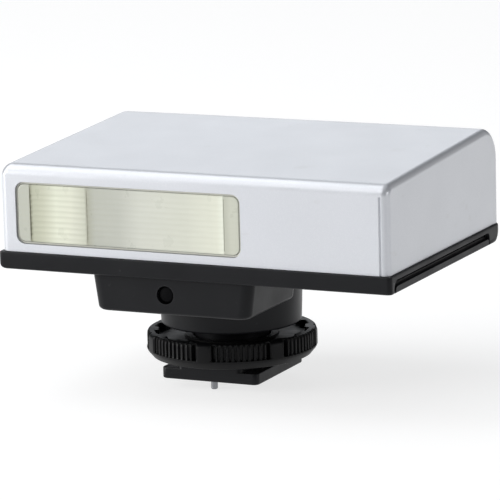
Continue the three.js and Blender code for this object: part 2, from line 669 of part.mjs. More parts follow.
// A trough with a parabolic section. Its ends slope in towards the back.
function troughBody(skin) {
  const { left, right, low, high, mouth, depth } = REFLECTOR;
  const middle = (low + high) / 2;
  const half = (high - low) / 2 - skin;
  const deep = depth - skin;
  const section = new THREE.Shape();
  const steps = 10;
  for (let i = 0; i <= steps; i += 1) {
    const z = half * (1 - 2 * i / steps);
    const y = mouth + deep * (1 - (z / half) ** 2);
    if (i === 0) section.moveTo(y, middle + z);
    else section.lineTo(y, middle + z);
  }
  section.closePath();
  const trough = carriedX(section, left + skin, right - skin);
  const { slope } = REFLECTOR_SHEET;
  const plan = new THREE.Shape([
    new THREE.Vector2(left + skin, mouth - 1),
    new THREE.Vector2(right - skin, mouth - 1),
    new THREE.Vector2(right - skin - slope, mouth + depth),
    new THREE.Vector2(left + skin + slope, mouth + depth),
  ]);
  return trough.intersect(raised(plan, low - 1, high + 1));
}

function reflector() {
  const inner = troughBody(REFLECTOR_SHEET.skin).translate(0, -0.02, 0);
  const hole = TUBE.radius + GAP + 0.05;
  const tubeHole = alongX([[0, -40], [hole, -40], [hole, 20], [0, 20]], 24, TUBE.y, TUBE.z);
  const opening = block(-40, 20, -30, REFLECTOR.mouth + 0.3, 20, 40);
  return without(troughBody(0), [inner, tubeHole, opening]);
}

function xenonTube() {
  const { radius, bore, left, right, y, z } = TUBE;
  return alongX([[bore, left], [radius, left], [radius, right], [bore, right], [bore, left]], 24, y, z);
}

function electrode(side) {
  const { radius, length, stickOut } = ELECTRODE;
  const from = side < 0 ? TUBE.left - stickOut : TUBE.right + stickOut - length;
  const to = from + length;
  return alongX([[0, from], [radius, from], [radius, to], [0, to]], 16, TUBE.y, TUBE.z);
}

function lampHolder() {
  const { left, right, low, high, wall } = HOLDER;
  const arm = HOLDER_ARM;
  const back = REFLECTOR.mouth + REFLECTOR.depth + 0.4;
  const plate = block(left, right, back, back + wall, low, high);
  const arms = [
    block(left, left + wall, arm.front, back + 0.5, arm.low, arm.high),
    block(right - wall, right, arm.front, back + 0.5, arm.low, arm.high),
  ];
  const hole = ELECTRODE.radius + GAP;
  const bore = alongX([[0, -40], [hole, -40], [hole, 20], [0, 20]], 24, TUBE.y, TUBE.z);
  return without(joined([plate, ...arms]), [bore]);
}

// ---------------------------------------------------------------- circuit

function mainCapacitor() {
  const { left, right, radius, y, z } = CAPACITOR;
  return alongX([
    [0, left], [radius - 0.9, left], [radius - 0.1, left + 0.6], [radius, left + 1.6], [radius, right - 0.8],
    [radius - 0.3, right - 0.2], [radius - 0.9, right], [radius - 0.9, right - 0.3], [0, right - 0.3],
  ], 28, y, z);
}

function mainBoard() {
  return block(BOARD.left, BOARD.right, BOARD.front, BOARD.rear, BOARD.bottom, BOARD.top);
}

const BOARD_FACE = BOARD.top + GAP;

function transformer() {
  const { left, right, front, rear, height, gap, leg } = TRANSFORMER;
  const core = block(left, right, front, rear, BOARD_FACE, BOARD_FACE + height);
  const low = BOARD_FACE + leg;
  const high = BOARD_FACE + height - leg;
  return without(core, [
    block(left - 1, right + 1, front + leg, front + leg + gap, low, high),
    block(left - 1, right + 1, rear - leg - gap, rear - leg, low, high),
  ]);
}

function triggerCoil() {
  const { x, y, cheek, winding, cheekDepth, height } = COIL;
  const low = BOARD_FACE + cheekDepth;
  const high = BOARD_FACE + height - cheekDepth;
  return turned([[0, BOARD_FACE], [cheek, BOARD_FACE], [cheek, low], [winding, low], [winding, high],
    [cheek, high], [cheek, BOARD_FACE + height], [0, BOARD_FACE + height]], 24, x, y);
}

function triggerCapacitor() {
  const { left, right, front, rear, corner, height } = FILM;
  return raised(roundedRectangle(left, right, front, rear, corner), BOARD_FACE, BOARD_FACE + height);
}

function switchingTransistor() {
  const { left, right, front, rear, height } = TRANSISTOR;
  const tab = TRANSISTOR_TAB;
  const body = block(left, right, front, rear, BOARD_FACE, BOARD_FACE + height);
  const fin = block(left, right, tab.front, rear, BOARD_FACE + height, BOARD_FACE + tab.top);
  const middle = BOARD_FACE + (height + tab.top) / 2;
  return body.add(fin).subtract(discY(tab.hole, front, rear + 1, 12, (left + right) / 2, middle));
}

function controlChip() {
  const { left, right, front, rear, height } = CHIP;
  return block(left, right, front, rear, BOARD_FACE, BOARD_FACE + height);
}

// ---------------------------------------------------------------- rear controls

function rearPanel() {
  const inset = 0.12;
  const { left, right, bottom, top, corner, z } = PANEL;
  const shape = roundedRectangle(left + inset, right - inset, bottom + inset, top - inset, corner - inset);
  const face = carriedY(shape, COVER.rear - 1.3, COVER.rear - 0.2);
  const flange = carriedY(roundedRectangle(left - 1.2, right + 1.2, bottom - 1, top + 0.6, corner),
    COVER.rear - 2.2, COVER.rear - COVER.wall - GAP);
  const cuts = [sliderSlot(POWER), sliderSlot(SELECTOR)];
  cuts.push(discY(TEST_BUTTON.radius + 0.2, 20, 30, 28, TEST_BUTTON.x, z));
  for (const { x, radius } of LAMPS) cuts.push(discY(radius + GAP, 20, 30, 20, x, z));
  return without(face.add(flange), cuts);
}

function sliderSlot({ x, travel }) {
  const { width, height, slot } = SLIDER;
  const half = width / 2 + slot;
  const rise = height / 2 + slot;
  return block(x - half, x + travel + half, 20, 30, PANEL.z - rise, PANEL.z + rise);
}

function sliderKnob({ x }) {
  const { width, height, face } = SLIDER;
  const half = width / 2;
  const stem = block(x - half, x + half, COVER.rear - 2.8, face, PANEL.z - height / 2, PANEL.z + height / 2);
  const grooves = [-1, 0, 1].map((i) => {
    const middle = x + i * SLIDER.groovePitch;
    return block(middle - 0.25, middle + 0.25, face - SLIDER.grooveDepth, face + 1,
      PANEL.z - height, PANEL.z + height);
  });
  return without(stem, grooves);
}

function switchBody({ x, travel }) {
  const half = SWITCH_HALF;
  const rear = COVER.rear - 2.9;
  return block(x - half, x + travel + half, REAR_BOARD.back + GAP, rear, PANEL.z - half, PANEL.z + half);
}

function rearBoard() {
  const { front, back, left, right, bottom, top } = REAR_BOARD;
  return block(left, right, front, back, bottom, top);
}

function testButton() {
  const { x, radius, face } = TEST_BUTTON;
  const back = COVER.rear - 2.5;
  return alongY([[0, back], [radius + 0.6, back], [radius + 0.6, back + 0.25], [radius, back + 0.25],
    [radius, face - 0.3], [radius - 0.3, face], [0, face]], 28, x, PANEL.z);
}

function testSwitch() {
  const { x } = TEST_BUTTON;
  const half = SWITCH_HALF - 0.2;
  const { back } = REAR_BOARD;
  return block(x - half, x + half, back + GAP, back + 0.7, PANEL.z - half, PANEL.z + half);
}

function lamp({ x, radius }) {
  const face = COVER.rear - 0.1;
  const back = REAR_BOARD.back + GAP;
  return alongY([
    [0, back], [radius, back], [radius, face - 0.25], [radius * 0.7, face], [0, face]], 20, x, PANEL.z);
}

// ---------------------------------------------------------------- battery bay

function batteryBay() {
  const { left, right, front, rear, top, wall, corner } = BAY;
  const low = TRAY.floorTop + 0.35;
  const shape = (inset) => roundedRectangle(
    left + inset, right - inset, front + inset, rear - inset, corner - inset / 2);
  const box = raised(shape(0), low, top);
  const ceiling = top - wall;
  const room = raised(shape(wall), low - 1, ceiling);
  const middle = (CELLS[0].x + CELLS[1].x) / 2;
  const half = BAY_RIB.width / 2;
  const end = BAY_RIB.setBack;
  const rib = block(middle - half, middle + half, front + end, rear - end, ceiling - BAY_RIB.depth, ceiling);
  return box.subtract(room).add(rib);
}

// The left-hand cell's positive end is at the rear and the right-hand cell's is at the front.
function batteryCell(index) {
  const { radius, length, z } = CELL;
  const { x, front } = CELLS[index];
  const rear = front + length;
  const body = [[0, front], [2.6, front], [2.6, front + 0.3], [radius, front + 0.3], [radius, rear - 1.0],
    [1.9, rear - 1.0], [1.9, rear], [0, rear]];
  const flipped = body.map(([r, y]) => [r, front + rear - y]).reverse();
  return alongY(index === 0 ? body : flipped, 28, x, z);
}

// Each spring presses on its cell's negative end.
function cellSpring(index) {
  const { radius, endRadius, turns, wire } = CELL_SPRING;
  const { x, front } = CELLS[index];
  const wall = BAY.front + BAY.wall + GAP;
  const from = index === 0 ? wall : front + CELL.length + GAP;
  const to = index === 0 ? front - GAP : rearContactFace() - GAP;
  const geometry = spring({ radius, endRadius, turns, length: to - from - 2 * wire, wire });
  geometry.rotateX(-Math.PI / 2);
  geometry.translate(x, from + wire, CELL.z);
  return toSolid(geometry);
}

function rearContactFace() {
  return BAY.rear - BAY.wall - GAP - CELL_CONTACT.thickness;
}

function cellContact(x0, x1, face) {
  const { thickness, reach } = CELL_CONTACT;
  return block(x0 - reach, x1 + reach, face, face + thickness, CELL.z - reach, CELL.z + reach);
}

// ---------------------------------------------------------------- internal wiring

function lead(route) {
  const section = new THREE.Shape();
  section.absarc(0, 0, LEAD_RADIUS, 0, 2 * Math.PI, false);
  const path = new THREE.CatmullRomCurve3(route.map(([x, y, z]) => new THREE.Vector3(x, y, z)));
  const settings = { extrudePath: path, steps: route.length * 3, curveSegments: 3, bevelEnabled: false };
  return toSolid(new THREE.ExtrudeGeometry(section, settings));
}

// ---------------------------------------------------------------- assembly

const flash = new THREE.Group();

function place(name, shape, look) {
  const geometry = shape instanceof THREE.BufferGeometry ? shape : toGeometry(shape);
  const mesh = new THREE.Mesh(geometry, LOOKS[look]);
  mesh.name = name;
  flash.add(mesh);
  return mesh;
}

place('hot_shoe_foot', footPlate(), 'black');
footScrewPlaces().forEach(([x, y], i) => {
  const { head, countersink, shank, tip } = FOOT_SCREW;
  const solid = screw({ head, headDepth: countersink, shank, length: tip - 0.2 });
  place(`foot_screw_${i + 1}`, solid, 'steel').position.set(x, y, 0.2);
});
place('lock_ring', lockRing(), 'ring');
place('pressure_plate', pressurePlate(), 'steel');
place('lock_pin', lockPin(), 'steel');
place('contact_block', contactBlock(), 'chip');
place('contact_board', disc(BLOCK.flange, BLOCK.top + GAP, BLOCK.top + 0.9, 32), 'board');
for (const spot of contactPlaces()) {
  place(spot.name, contact(spot), 'brass');
  place(`${spot.name}_spring`, contactSpring(spot), 'steel');
}

place('shoe_housing', housing(), 'black');
place('sensor_window', sensorWindow(), 'dark');
place('photo_cell', photoCell(), 'chip');

place('top_cover', topCover(), 'silver');
place('base_tray', baseTray(), 'black');
place('battery_door', batteryDoor(), 'black');
CASE_SCREWS.forEach(([x, y], i) => {
  const solid = screw(CASE_SCREW);
  place(`case_screw_${i + 1}`, solid, 'steel').position.set(x, y, TRAY.bottom + 0.02);
});

place('flash_lens', lensPanel(), 'lens');
place('window_gasket', windowGasket(), 'gasket');
place('reflector', reflector(), 'mirror');
place('xenon_tube', xenonTube(), 'glass');
place('tube_electrode_left', electrode(-1), 'steel');
place('tube_electrode_right', electrode(1), 'steel');
place('lamp_holder', lampHolder(), 'white');

place('main_capacitor', mainCapacitor(), 'sleeve');
place('main_board', mainBoard(), 'board');
place('step_up_transformer', transformer(), 'copper');
place('trigger_coil', triggerCoil(), 'copper');
place('trigger_capacitor', triggerCapacitor(), 'amber');
place('switching_transistor', switchingTransistor(), 'chip');
place('control_chip', controlChip(), 'chip');

place('rear_panel', rearPanel(), 'black');
place('rear_board', rearBoard(), 'board');
place('power_switch_body', switchBody(POWER), 'chip');
place('power_switch_knob', sliderKnob(POWER), 'black');
place('aperture_switch_body', switchBody(SELECTOR), 'chip');
place('aperture_switch_knob', sliderKnob(SELECTOR), 'black');
place('test_button', testButton(), 'black');
place('test_switch', testSwitch(), 'chip');
for (const spot of LAMPS) place(spot.name, lamp(spot), 'amber');

place('battery_bay', batteryBay(), 'black');
place('battery_cell_left', batteryCell(0), 'cell');
place('battery_cell_right', batteryCell(1), 'cell');
place('cell_spring_left', cellSpring(0), 'steel');
place('cell_spring_right', cellSpring(1), 'steel');
const [leftCell, rightCell] = CELLS;
place('front_cell_contact', cellContact(rightCell.x, rightCell.x, BAY.front + BAY.wall + GAP), 'steel');
place('rear_cell_contact', cellContact(leftCell.x, rightCell.x, rearContactFace()), 'steel');
for (const [name, route] of Object.entries(LEADS)) place(name, lead(route), 'wire');

export default flash;
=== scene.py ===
"""Looks for a compact shoe-mount electronic flash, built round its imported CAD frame. Metres, +Z up."""

import json
import math

import bmesh
import bpy
from mathutils import Matrix, Vector

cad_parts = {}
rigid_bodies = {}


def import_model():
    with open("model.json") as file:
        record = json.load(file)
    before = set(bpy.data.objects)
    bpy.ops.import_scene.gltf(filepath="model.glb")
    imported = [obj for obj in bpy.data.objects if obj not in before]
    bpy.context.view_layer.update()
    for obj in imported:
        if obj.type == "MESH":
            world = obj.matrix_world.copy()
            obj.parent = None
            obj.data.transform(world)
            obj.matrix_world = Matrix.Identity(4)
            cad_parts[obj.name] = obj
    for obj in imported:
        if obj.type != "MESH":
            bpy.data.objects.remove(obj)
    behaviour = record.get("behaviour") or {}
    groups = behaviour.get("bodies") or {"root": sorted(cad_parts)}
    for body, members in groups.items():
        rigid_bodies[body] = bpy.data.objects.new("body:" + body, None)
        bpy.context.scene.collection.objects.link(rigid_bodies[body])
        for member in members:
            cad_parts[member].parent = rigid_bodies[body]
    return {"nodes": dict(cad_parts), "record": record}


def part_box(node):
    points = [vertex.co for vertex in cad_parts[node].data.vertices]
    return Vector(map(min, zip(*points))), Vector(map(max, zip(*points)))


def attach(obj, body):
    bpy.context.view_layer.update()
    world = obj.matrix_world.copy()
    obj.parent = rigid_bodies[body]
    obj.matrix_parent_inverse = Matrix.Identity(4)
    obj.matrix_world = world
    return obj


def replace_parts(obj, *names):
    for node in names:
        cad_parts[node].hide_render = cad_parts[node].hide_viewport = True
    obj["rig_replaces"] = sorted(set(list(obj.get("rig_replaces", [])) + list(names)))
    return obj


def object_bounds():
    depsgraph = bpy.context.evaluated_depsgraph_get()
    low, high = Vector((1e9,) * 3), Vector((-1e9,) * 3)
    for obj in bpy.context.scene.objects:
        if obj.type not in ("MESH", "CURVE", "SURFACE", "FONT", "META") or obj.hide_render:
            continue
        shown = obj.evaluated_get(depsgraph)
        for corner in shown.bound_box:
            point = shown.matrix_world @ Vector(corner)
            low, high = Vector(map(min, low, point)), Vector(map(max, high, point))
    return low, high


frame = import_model()
CAD_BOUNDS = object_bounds()
MM = 0.001


def set_inputs(node, **values):
    """Sets inputs of a shader node, named with underscores for spaces."""
    for name, value in values.items():
        node.inputs[name.replace("_", " ")].default_value = value
    return node


# ------ camera, light and floor

CAMERA = {"azimuth": 25.23, "elevation": 11.39, "roll": -1.487, "distance": 0.64155, "lens": 263.4}
CAMERA_TARGET = Vector((3.92, 0.0, 21.86)) * MM


def make_camera():
    """Stands the camera at its angle and distance from the target, tipped by a small roll."""
    azimuth = math.radians(CAMERA["azimuth"])
    elevation = math.radians(CAMERA["elevation"])
    roll = math.radians(CAMERA["roll"])
    back = Vector((math.sin(azimuth) * math.cos(elevation), -math.cos(azimuth) * math.cos(elevation),
                   math.sin(elevation)))
    right = Vector((math.cos(azimuth), math.sin(azimuth), 0.0))
    up = back.cross(right)
    across = right * math.cos(roll) + up * math.sin(roll)
    upward = up * math.cos(roll) - right * math.sin(roll)
    turn = Matrix((across, upward, back)).transposed().to_4x4()
    data = bpy.data.cameras.new("camera")
    data.lens = CAMERA["lens"]
    data.sensor_width = 36.0
    data.clip_start, data.clip_end = 0.01, 20.0
    camera = bpy.data.objects.new("camera", data)
    camera.matrix_world = Matrix.Translation(CAMERA_TARGET + back * CAMERA["distance"]) @ turn
    bpy.context.scene.collection.objects.link(camera)
    bpy.context.scene.camera = camera


WARM = (1.0, 0.995, 0.99)
PLAIN = (1.0, 1.0, 1.0)
COOL = (0.94, 0.965, 1.0)
# Name, azimuth, elevation, distance, size, power and colour. Azimuths are measured as the camera's is.
SOFTBOXES = [
    ("front_low", -52, 6, 1.3, 0.7, 16.0, WARM),
    ("front_left", -62, 35, 1.3, 0.6, 2.6, PLAIN),
    ("front_high", -20, 40, 1.3, 0.7, 2.9, PLAIN),
    ("near_left", -75, 58, 0.5, 0.35, 0.8, (0.98, 0.99, 1.0)),
    ("overhead", 0, 86, 1.2, 1.3, 2.8, (0.95, 0.975, 1.0)),
    ("right", 60, 30, 1.3, 0.7, 0.3, PLAIN),
    ("side", 86, 10, 1.3, 0.3, 1.8, PLAIN),
    ("right_back", 150, 10, 1.4, 0.8, 0.6, PLAIN),
    ("back", 208, 20, 1.3, 0.7, 1.6, COOL),
    ("back_high", 198, 45, 1.3, 0.8, 1.2, COOL),
]


def softbox(name, azimuth, elevation, distance, size, power, color):
    """A square area light that faces the object."""
    a, e = math.radians(azimuth), math.radians(elevation)
    towards = Vector((math.sin(a) * math.cos(e), -math.cos(a) * math.cos(e), math.sin(e)))
    data = bpy.data.lights.new(f"{name}_softbox", "AREA")
    data.shape = "SQUARE"
    data.size = size
    data.energy = power
    data.color = color
    light = bpy.data.objects.new(data.name, data)
    light.location = CAMERA_TARGET + towards * distance
    light.rotation_mode = "QUATERNION"
    light.rotation_quaternion = towards.to_track_quat("Z", "Y")
    bpy.context.scene.collection.objects.link(light)


def make_light():
    for settings in SOFTBOXES:
        softbox(*settings)
    world = bpy.data.worlds.new("studio")
    world.use_nodes = True
    set_inputs(world.node_tree.nodes["Background"], Color=(0.92, 0.95, 1.0, 1.0), Strength=0.13)
    bpy.context.scene.world = world
    bpy.context.scene.view_settings.view_transform = "Standard"


def make_floor(level):
    """A plain pale floor, just under the lowest point."""
    mesh = bpy.data.meshes.new("floor")
    reach = 6.0
    corners = [(x * reach, y * reach, level) for x, y in ((-1, -1), (1, -1), (1, 1), (-1, 1))]
    mesh.from_pydata(corners, [], [(0, 1, 2, 3)])
    floor = bpy.data.objects.new("floor", mesh)
    bpy.context.scene.collection.objects.link(floor)
    material = bpy.data.materials.new("floor_paint")
    material.use_nodes = True
    set_inputs(material.node_tree.nodes["Principled BSDF"],
               Base_Color=(0.34, 0.34, 0.34, 1.0), Roughness=0.9, Specular_IOR_Level=0.1,
               Emission_Color=(1.0, 1.0, 1.0, 1.0), Emission_Strength=0.73)
    mesh.materials.append(material)


# ------ materials

# Where the flash window's ribs begin, change depth and end, in millimetres from the middle of the foot.
LENS_STRIPS = {"left": -25.9, "step": -15.2, "right": 10.75}
RIB_PITCH = 0.95
# The window's painted tone from its left end to its right end: painted light and shade of the lit reflector
# and tube behind the panel, as distances in millimetres and colours.
LENS_PAINTED_LIGHT = [
    (-26.3, (0.43, 0.44, 0.38)), (-26.0, (0.19, 0.19, 0.13)), (-25.5, (0.40, 0.41, 0.31)),
    (-23.5, (0.48, 0.49, 0.38)), (-21.0, (0.64, 0.66, 0.54)), (-18.0, (0.63, 0.64, 0.53)),
    (-15.5, (0.50, 0.51, 0.42)), (-15.1, (0.33, 0.33, 0.26)), (-13.5, (0.40, 0.41, 0.36)),
    (-9.0, (0.43, 0.44, 0.39)), (-5.0, (0.54, 0.55, 0.49)), (4.0, (0.57, 0.58, 0.50)),
    (9.5, (0.64, 0.65, 0.55)), (10.6, (0.71, 0.73, 0.63)), (10.9, (0.42, 0.43, 0.36)),
    (12.2, (0.50, 0.51, 0.43)),
]


class Finish:
    """A Principled material whose colour, roughness and relief come from small procedural node groups."""

    def __init__(self, name, color, roughness, metallic=0.0, **settings):
        self.material = bpy.data.materials.new(name)
        self.material.use_nodes = True
        self.nodes = self.material.node_tree.nodes
        self.links = self.material.node_tree.links
        self.shader = self.nodes["Principled BSDF"]
        first = self.nodes.new("ShaderNodeRGB")
        first.outputs[0].default_value = (*color, 1.0)
        self.color = first.outputs[0]
        set_inputs(self.shader, Base_Color=(*color, 1.0), Roughness=roughness, Metallic=metallic, **settings)
        self.coordinates = self.nodes.new("ShaderNodeTexCoord").outputs["Object"]

    def node(self, kind, **values):
        return set_inputs(self.nodes.new("ShaderNode" + kind), **values)

    def along(self, axis):
        """The place along the object's X, Y or Z."""
        node = self.node("SeparateXYZ")
        self.links.new(self.coordinates, node.inputs[0])
        return node.outputs[axis]

    def noise(self, size, detail=3.0, stretch=(1.0, 1.0, 1.0), offset=0.0):
        """A noise with features about size millimetres across, drawn out into streaks by stretch."""
        node = self.node("TexNoise", Scale=0.5 / (size * MM), Detail=detail)
        node.noise_dimensions = "4D"
        node.inputs["W"].default_value = offset
        mapping = self.node("Mapping", Scale=stretch)
        self.links.new(self.coordinates, mapping.inputs["Vector"])
        self.links.new(mapping.outputs["Vector"], node.inputs["Vector"])
        return node.outputs["Fac"]

    def spread(self, value, low, high, to_low=0.0, to_high=1.0):
        """Maps a value between low and high to the range between to_low and to_high."""
        node = self.node("MapRange", From_Min=low, From_Max=high, To_Min=to_low, To_Max=to_high)
        self.links.new(value, node.inputs["Value"])
        return node.outputs["Result"]

    def tint(self, factor, color):
        """Mixes a second colour in by factor."""
        node = self.node("Mix")
        node.data_type = "RGBA"
        self.links.new(factor, node.inputs["Factor"])
        self.links.new(self.color, node.inputs["A"])
        node.inputs["B"].default_value = (*color, 1.0)
        self.color = node.outputs["Result"]
        self.links.new(self.color, self.shader.inputs["Base Color"])

    def mottle(self, noise, low, high, strength, color):
        """Tints where a noise runs from low to high, up to a strength."""
        self.tint(self.spread(noise, low, high, 0.0, strength), color)

    def polish(self, factor, low, high):
        """Roughness that runs from low to high with factor."""
        self.links.new(self.spread(factor, 0.25, 0.75, low, high), self.shader.inputs["Roughness"])

    def bump(self, height, distance, strength):
        """Relief of distance millimetres."""
        node = self.node("Bump", Distance=distance * MM, Strength=strength)
        self.links.new(height, node.inputs["Height"])
        self.links.new(node.outputs["Normal"], self.shader.inputs["Normal"])

    def edge_wear_and_highlight(self, color, radius, strength):
        """Lightens edges up to radius millimetres wide, where a rounded normal leaves the true one: a painted
        edge highlight that also stands for wear.
        """
        rounded = self.node("Bevel", Radius=radius * MM)
        rounded.samples = 4
        true = self.node("NewGeometry")
        dot = self.node("VectorMath")
        dot.operation = "DOT_PRODUCT"
        self.links.new(rounded.outputs["Normal"], dot.inputs[0])
        self.links.new(true.outputs["Normal"], dot.inputs[1])
        self.mottle(dot.outputs["Value"], 1.0, 0.9, strength, color)


def silver_paint():
    """Silver paint with soft blotches, metal flake, scuffs and a thin clear coat."""
    finish = Finish("silver_paint", (0.55, 0.565, 0.60), 0.34, 0.45, Coat_Weight=0.5, Coat_Roughness=0.16)
    blotch = finish.noise(14, 4.0)
    finish.mottle(blotch, 0.35, 0.75, 0.2, (0.53, 0.537, 0.558))
    flake = finish.noise(0.09, 2.0, offset=3.0)
    finish.mottle(flake, 0.45, 0.75, 0.25, (0.68, 0.69, 0.71))
    scuff = finish.noise(2.2, 6.0, stretch=(1.0, 1.0, 2.5), offset=5.0)
    finish.mottle(scuff, 0.64, 0.72, 0.22, (0.44, 0.44, 0.44))
    finish.polish(finish.noise(5, 5.0, offset=9.0), 0.31, 0.42)
    finish.bump(flake, 0.004, 0.5)
    return finish.material


def black_moulding(name, color, roughness, grain=0.16, edge=0.05):
    """A satin moulding with a spark-eroded grain, faint dust and edges painted lighter, as a painted
    highlight and as wear.
    """
    finish = Finish(name, color, roughness, Specular_IOR_Level=0.13)
    cloud = finish.noise(6, 4.0)
    finish.mottle(cloud, 0.4, 0.8, 0.5, tuple(c * 1.4 + 0.001 for c in color))
    dust = finish.noise(0.35, 2.0, offset=4.0)
    finish.mottle(dust, 0.70, 0.80, 0.12, (0.12, 0.12, 0.12))
    # Painted highlight: the edges are lightened as wear and as the highlight along them.
    finish.edge_wear_and_highlight(tuple(c + edge for c in color), 0.25, 0.7)
    finish.polish(finish.noise(3, 4.0, offset=7.0), roughness - 0.07, roughness + 0.1)
    finish.bump(finish.noise(grain, 2.0, offset=2.0), 0.02, 0.35)
    return finish.material


def plated_metal(name, color, roughness, brush=(1.0, 1.0, 1.0)):
    """Plated metal with stains and a fine grain, drawn out by brush."""
    finish = Finish(name, color, roughness, 1.0)
    stain = finish.noise(1.5, 5.0)
    finish.mottle(stain, 0.5, 0.8, 0.4, tuple(c * 0.7 for c in color))
    finish.polish(finish.noise(0.8, 4.0, offset=6.0), roughness * 0.7, roughness * 1.5)
    finish.bump(finish.noise(0.12, 2.0, stretch=brush, offset=1.0), 0.006, 0.5)
    return finish.material


def clear_lens():
    """A pale green panel with painted light and shade: tones along it paint the lit reflector and tube seen
    through it, greyer at its two end strips, and its moulded ribs show as fine painted shade lines.
    """
    finish = Finish("clear_lens", LENS_PAINTED_LIGHT[0][1], 0.3, IOR=1.49)
    x = finish.along("X")
    # Painted light and shade: the lit reflector and its shaded ends behind the panel, laid on as tones along
    # X.
    for (start, _), (end, painted_tone) in zip(LENS_PAINTED_LIGHT, LENS_PAINTED_LIGHT[1:]):
        finish.tint(finish.spread(x, start * MM, end * MM), painted_tone)
    ribs = finish.node("TexWave", Scale=math.pi / 10 / (RIB_PITCH * MM), Distortion=0.4, Detail=0.0)
    ribs.bands_direction = "Z"
    finish.links.new(finish.coordinates, ribs.inputs["Vector"])
    # Painted shade: darker fine lines at the rib pitch, stronger left of the step, stand in for the ribs'
    # shading.
    deep = finish.node("Math")
    deep.operation = "MULTIPLY"
    finish.links.new(finish.spread(ribs.outputs["Fac"], 0.3, 0.9), deep.inputs[0])
    step, fade = LENS_STRIPS["step"], 6
    strength = finish.spread(x, step * MM, (step + fade) * MM, 0.2, 0.08)
    finish.links.new(strength, deep.inputs[1])
    finish.tint(deep.outputs[0], (0.42, 0.43, 0.34))
    streak = finish.noise(1.6, 3.0, stretch=(1.0, 1.0, 0.25))
    finish.mottle(streak, 0.45, 0.75, 0.25, (0.50, 0.51, 0.44))
    finish.polish(finish.noise(1.2, 4.0, offset=2.0), 0.25, 0.36)
    return finish.material


def tube_glass():
    finish = Finish("tube_glass", (0.93, 0.94, 0.93), 0.14, Transmission_Weight=0.7, IOR=1.46)
    finish.mottle(finish.noise(2), 0.5, 0.8, 0.3, (0.90, 0.91, 0.90))
    return finish.material


def bright_reflector():
    finish = Finish("bright_reflector", (0.86, 0.86, 0.82), 0.3, 0.5)
    drawn = finish.noise(0.5, 3.0, stretch=(0.04, 1.0, 1.0))
    finish.mottle(drawn, 0.4, 0.75, 0.4, (0.70, 0.70, 0.66))
    finish.polish(finish.noise(2, 3.0, offset=2.0), 0.25, 0.42)
    finish.bump(drawn, 0.01, 0.5)
    return finish.material


def plain_moulding(name, color, roughness, **settings):
    """A moulding or coating with soft colour variation and a fine grain."""
    finish = Finish(name, color, roughness, **settings)
    finish.mottle(finish.noise(3, 4.0), 0.4, 0.8, 0.5, tuple(c * 0.75 for c in color))
    finish.polish(finish.noise(1.5, 3.0, offset=3.0), roughness * 0.8, roughness * 1.25)
    finish.bump(finish.noise(0.2, 2.0, offset=8.0), 0.01, 0.4)
    return finish.material


def circuit_board():
    """Green solder resist with faint tracks and tinned pads."""
    finish = Finish("circuit_board", (0.03, 0.15, 0.08), 0.35)
    tracks = finish.node("TexBrick", Scale=1.0 / (4 * MM), Mortar_Size=0.06, Color1=(0.03, 0.15, 0.08, 1.0),
                         Color2=(0.04, 0.19, 0.10, 1.0), Mortar=(0.10, 0.34, 0.18, 1.0))
    finish.links.new(finish.coordinates, tracks.inputs["Vector"])
    finish.color = tracks.outputs["Color"]
    finish.mottle(finish.noise(0.7, 0.0), 0.68, 0.70, 0.9, (0.55, 0.56, 0.58))
    finish.polish(finish.noise(2), 0.28, 0.45)
    return finish.material


def cell_jacket():
    """A printed metal jacket: a dark body with a copper band round its rear end."""
    finish = Finish("cell_jacket", (0.05, 0.055, 0.065), 0.28, 0.5, Coat_Weight=0.5)
    finish.tint(finish.spread(finish.along("Y"), 9.9 * MM, 10.0 * MM), (0.55, 0.36, 0.12))
    finish.mottle(finish.noise(8), 0.4, 0.8, 0.3, (0.12, 0.12, 0.13))
    finish.polish(finish.noise(3, offset=2.0), 0.22, 0.4)
    return finish.material


def make_materials():
    return {
        "silver_cover": silver_paint(),
        "black_plastic": black_moulding("black_moulding", (0.0075, 0.0078, 0.009), 0.36, 0.16, 0.022),
        "ring_plastic": black_moulding("ring_moulding", (0.003, 0.0031, 0.0035), 0.42, 0.12, 0.014),
        "knob_plastic": black_moulding("knob_moulding", (0.035, 0.035, 0.038), 0.38),
        "moulded_black": plain_moulding("moulded_resin", (0.03, 0.03, 0.032), 0.55),
        "clear_lens": clear_lens(),
        "tube_glass": tube_glass(),
        "rubber_seal": plain_moulding("seal_rubber", (0.52, 0.52, 0.46), 0.7),
        "bright_reflector": bright_reflector(),
        "steel": plated_metal("plated_steel", (0.24, 0.245, 0.26), 0.3),
        "spring_steel": plated_metal("spring_wire", (0.58, 0.58, 0.60), 0.22),
        "screw_steel": plated_metal("screw_zinc", (0.52, 0.53, 0.56), 0.30),
        "black_screw": plated_metal("screw_blackened", (0.07, 0.07, 0.075), 0.35),
        "plated_contact": plated_metal("contact_gold", (0.83, 0.66, 0.33), 0.18),
        "copper_winding": plated_metal("winding_copper", (0.55, 0.25, 0.12), 0.35, (1.0, 1.0, 12.0)),
        "ferrite": plain_moulding("ferrite_core", (0.05, 0.05, 0.055), 0.5),
        "circuit_board": circuit_board(),
        "capacitor_sleeve": plain_moulding("capacitor_sleeve", (0.02, 0.025, 0.06), 0.3),
        "film_capacitor": plain_moulding("film_capacitor", (0.50, 0.22, 0.05), 0.3),
        "white_plastic": plain_moulding("white_moulding", (0.78, 0.77, 0.72), 0.5),
        "dark_filter": plain_moulding("dark_filter", (0.001, 0.001, 0.0015), 0.5, Specular_IOR_Level=0.05),
        "amber_lamp": plain_moulding("amber_light_pipe", (0.70, 0.24, 0.03), 0.2, Transmission_Weight=0.3),
        "green_lamp": plain_moulding("green_light_pipe", (0.06, 0.38, 0.10), 0.2, Transmission_Weight=0.3),
        "cell_jacket": cell_jacket(),
        "lead_insulation": plain_moulding("lead_insulation", (0.36, 0.03, 0.025), 0.45),
    }


# ------ mesh helpers


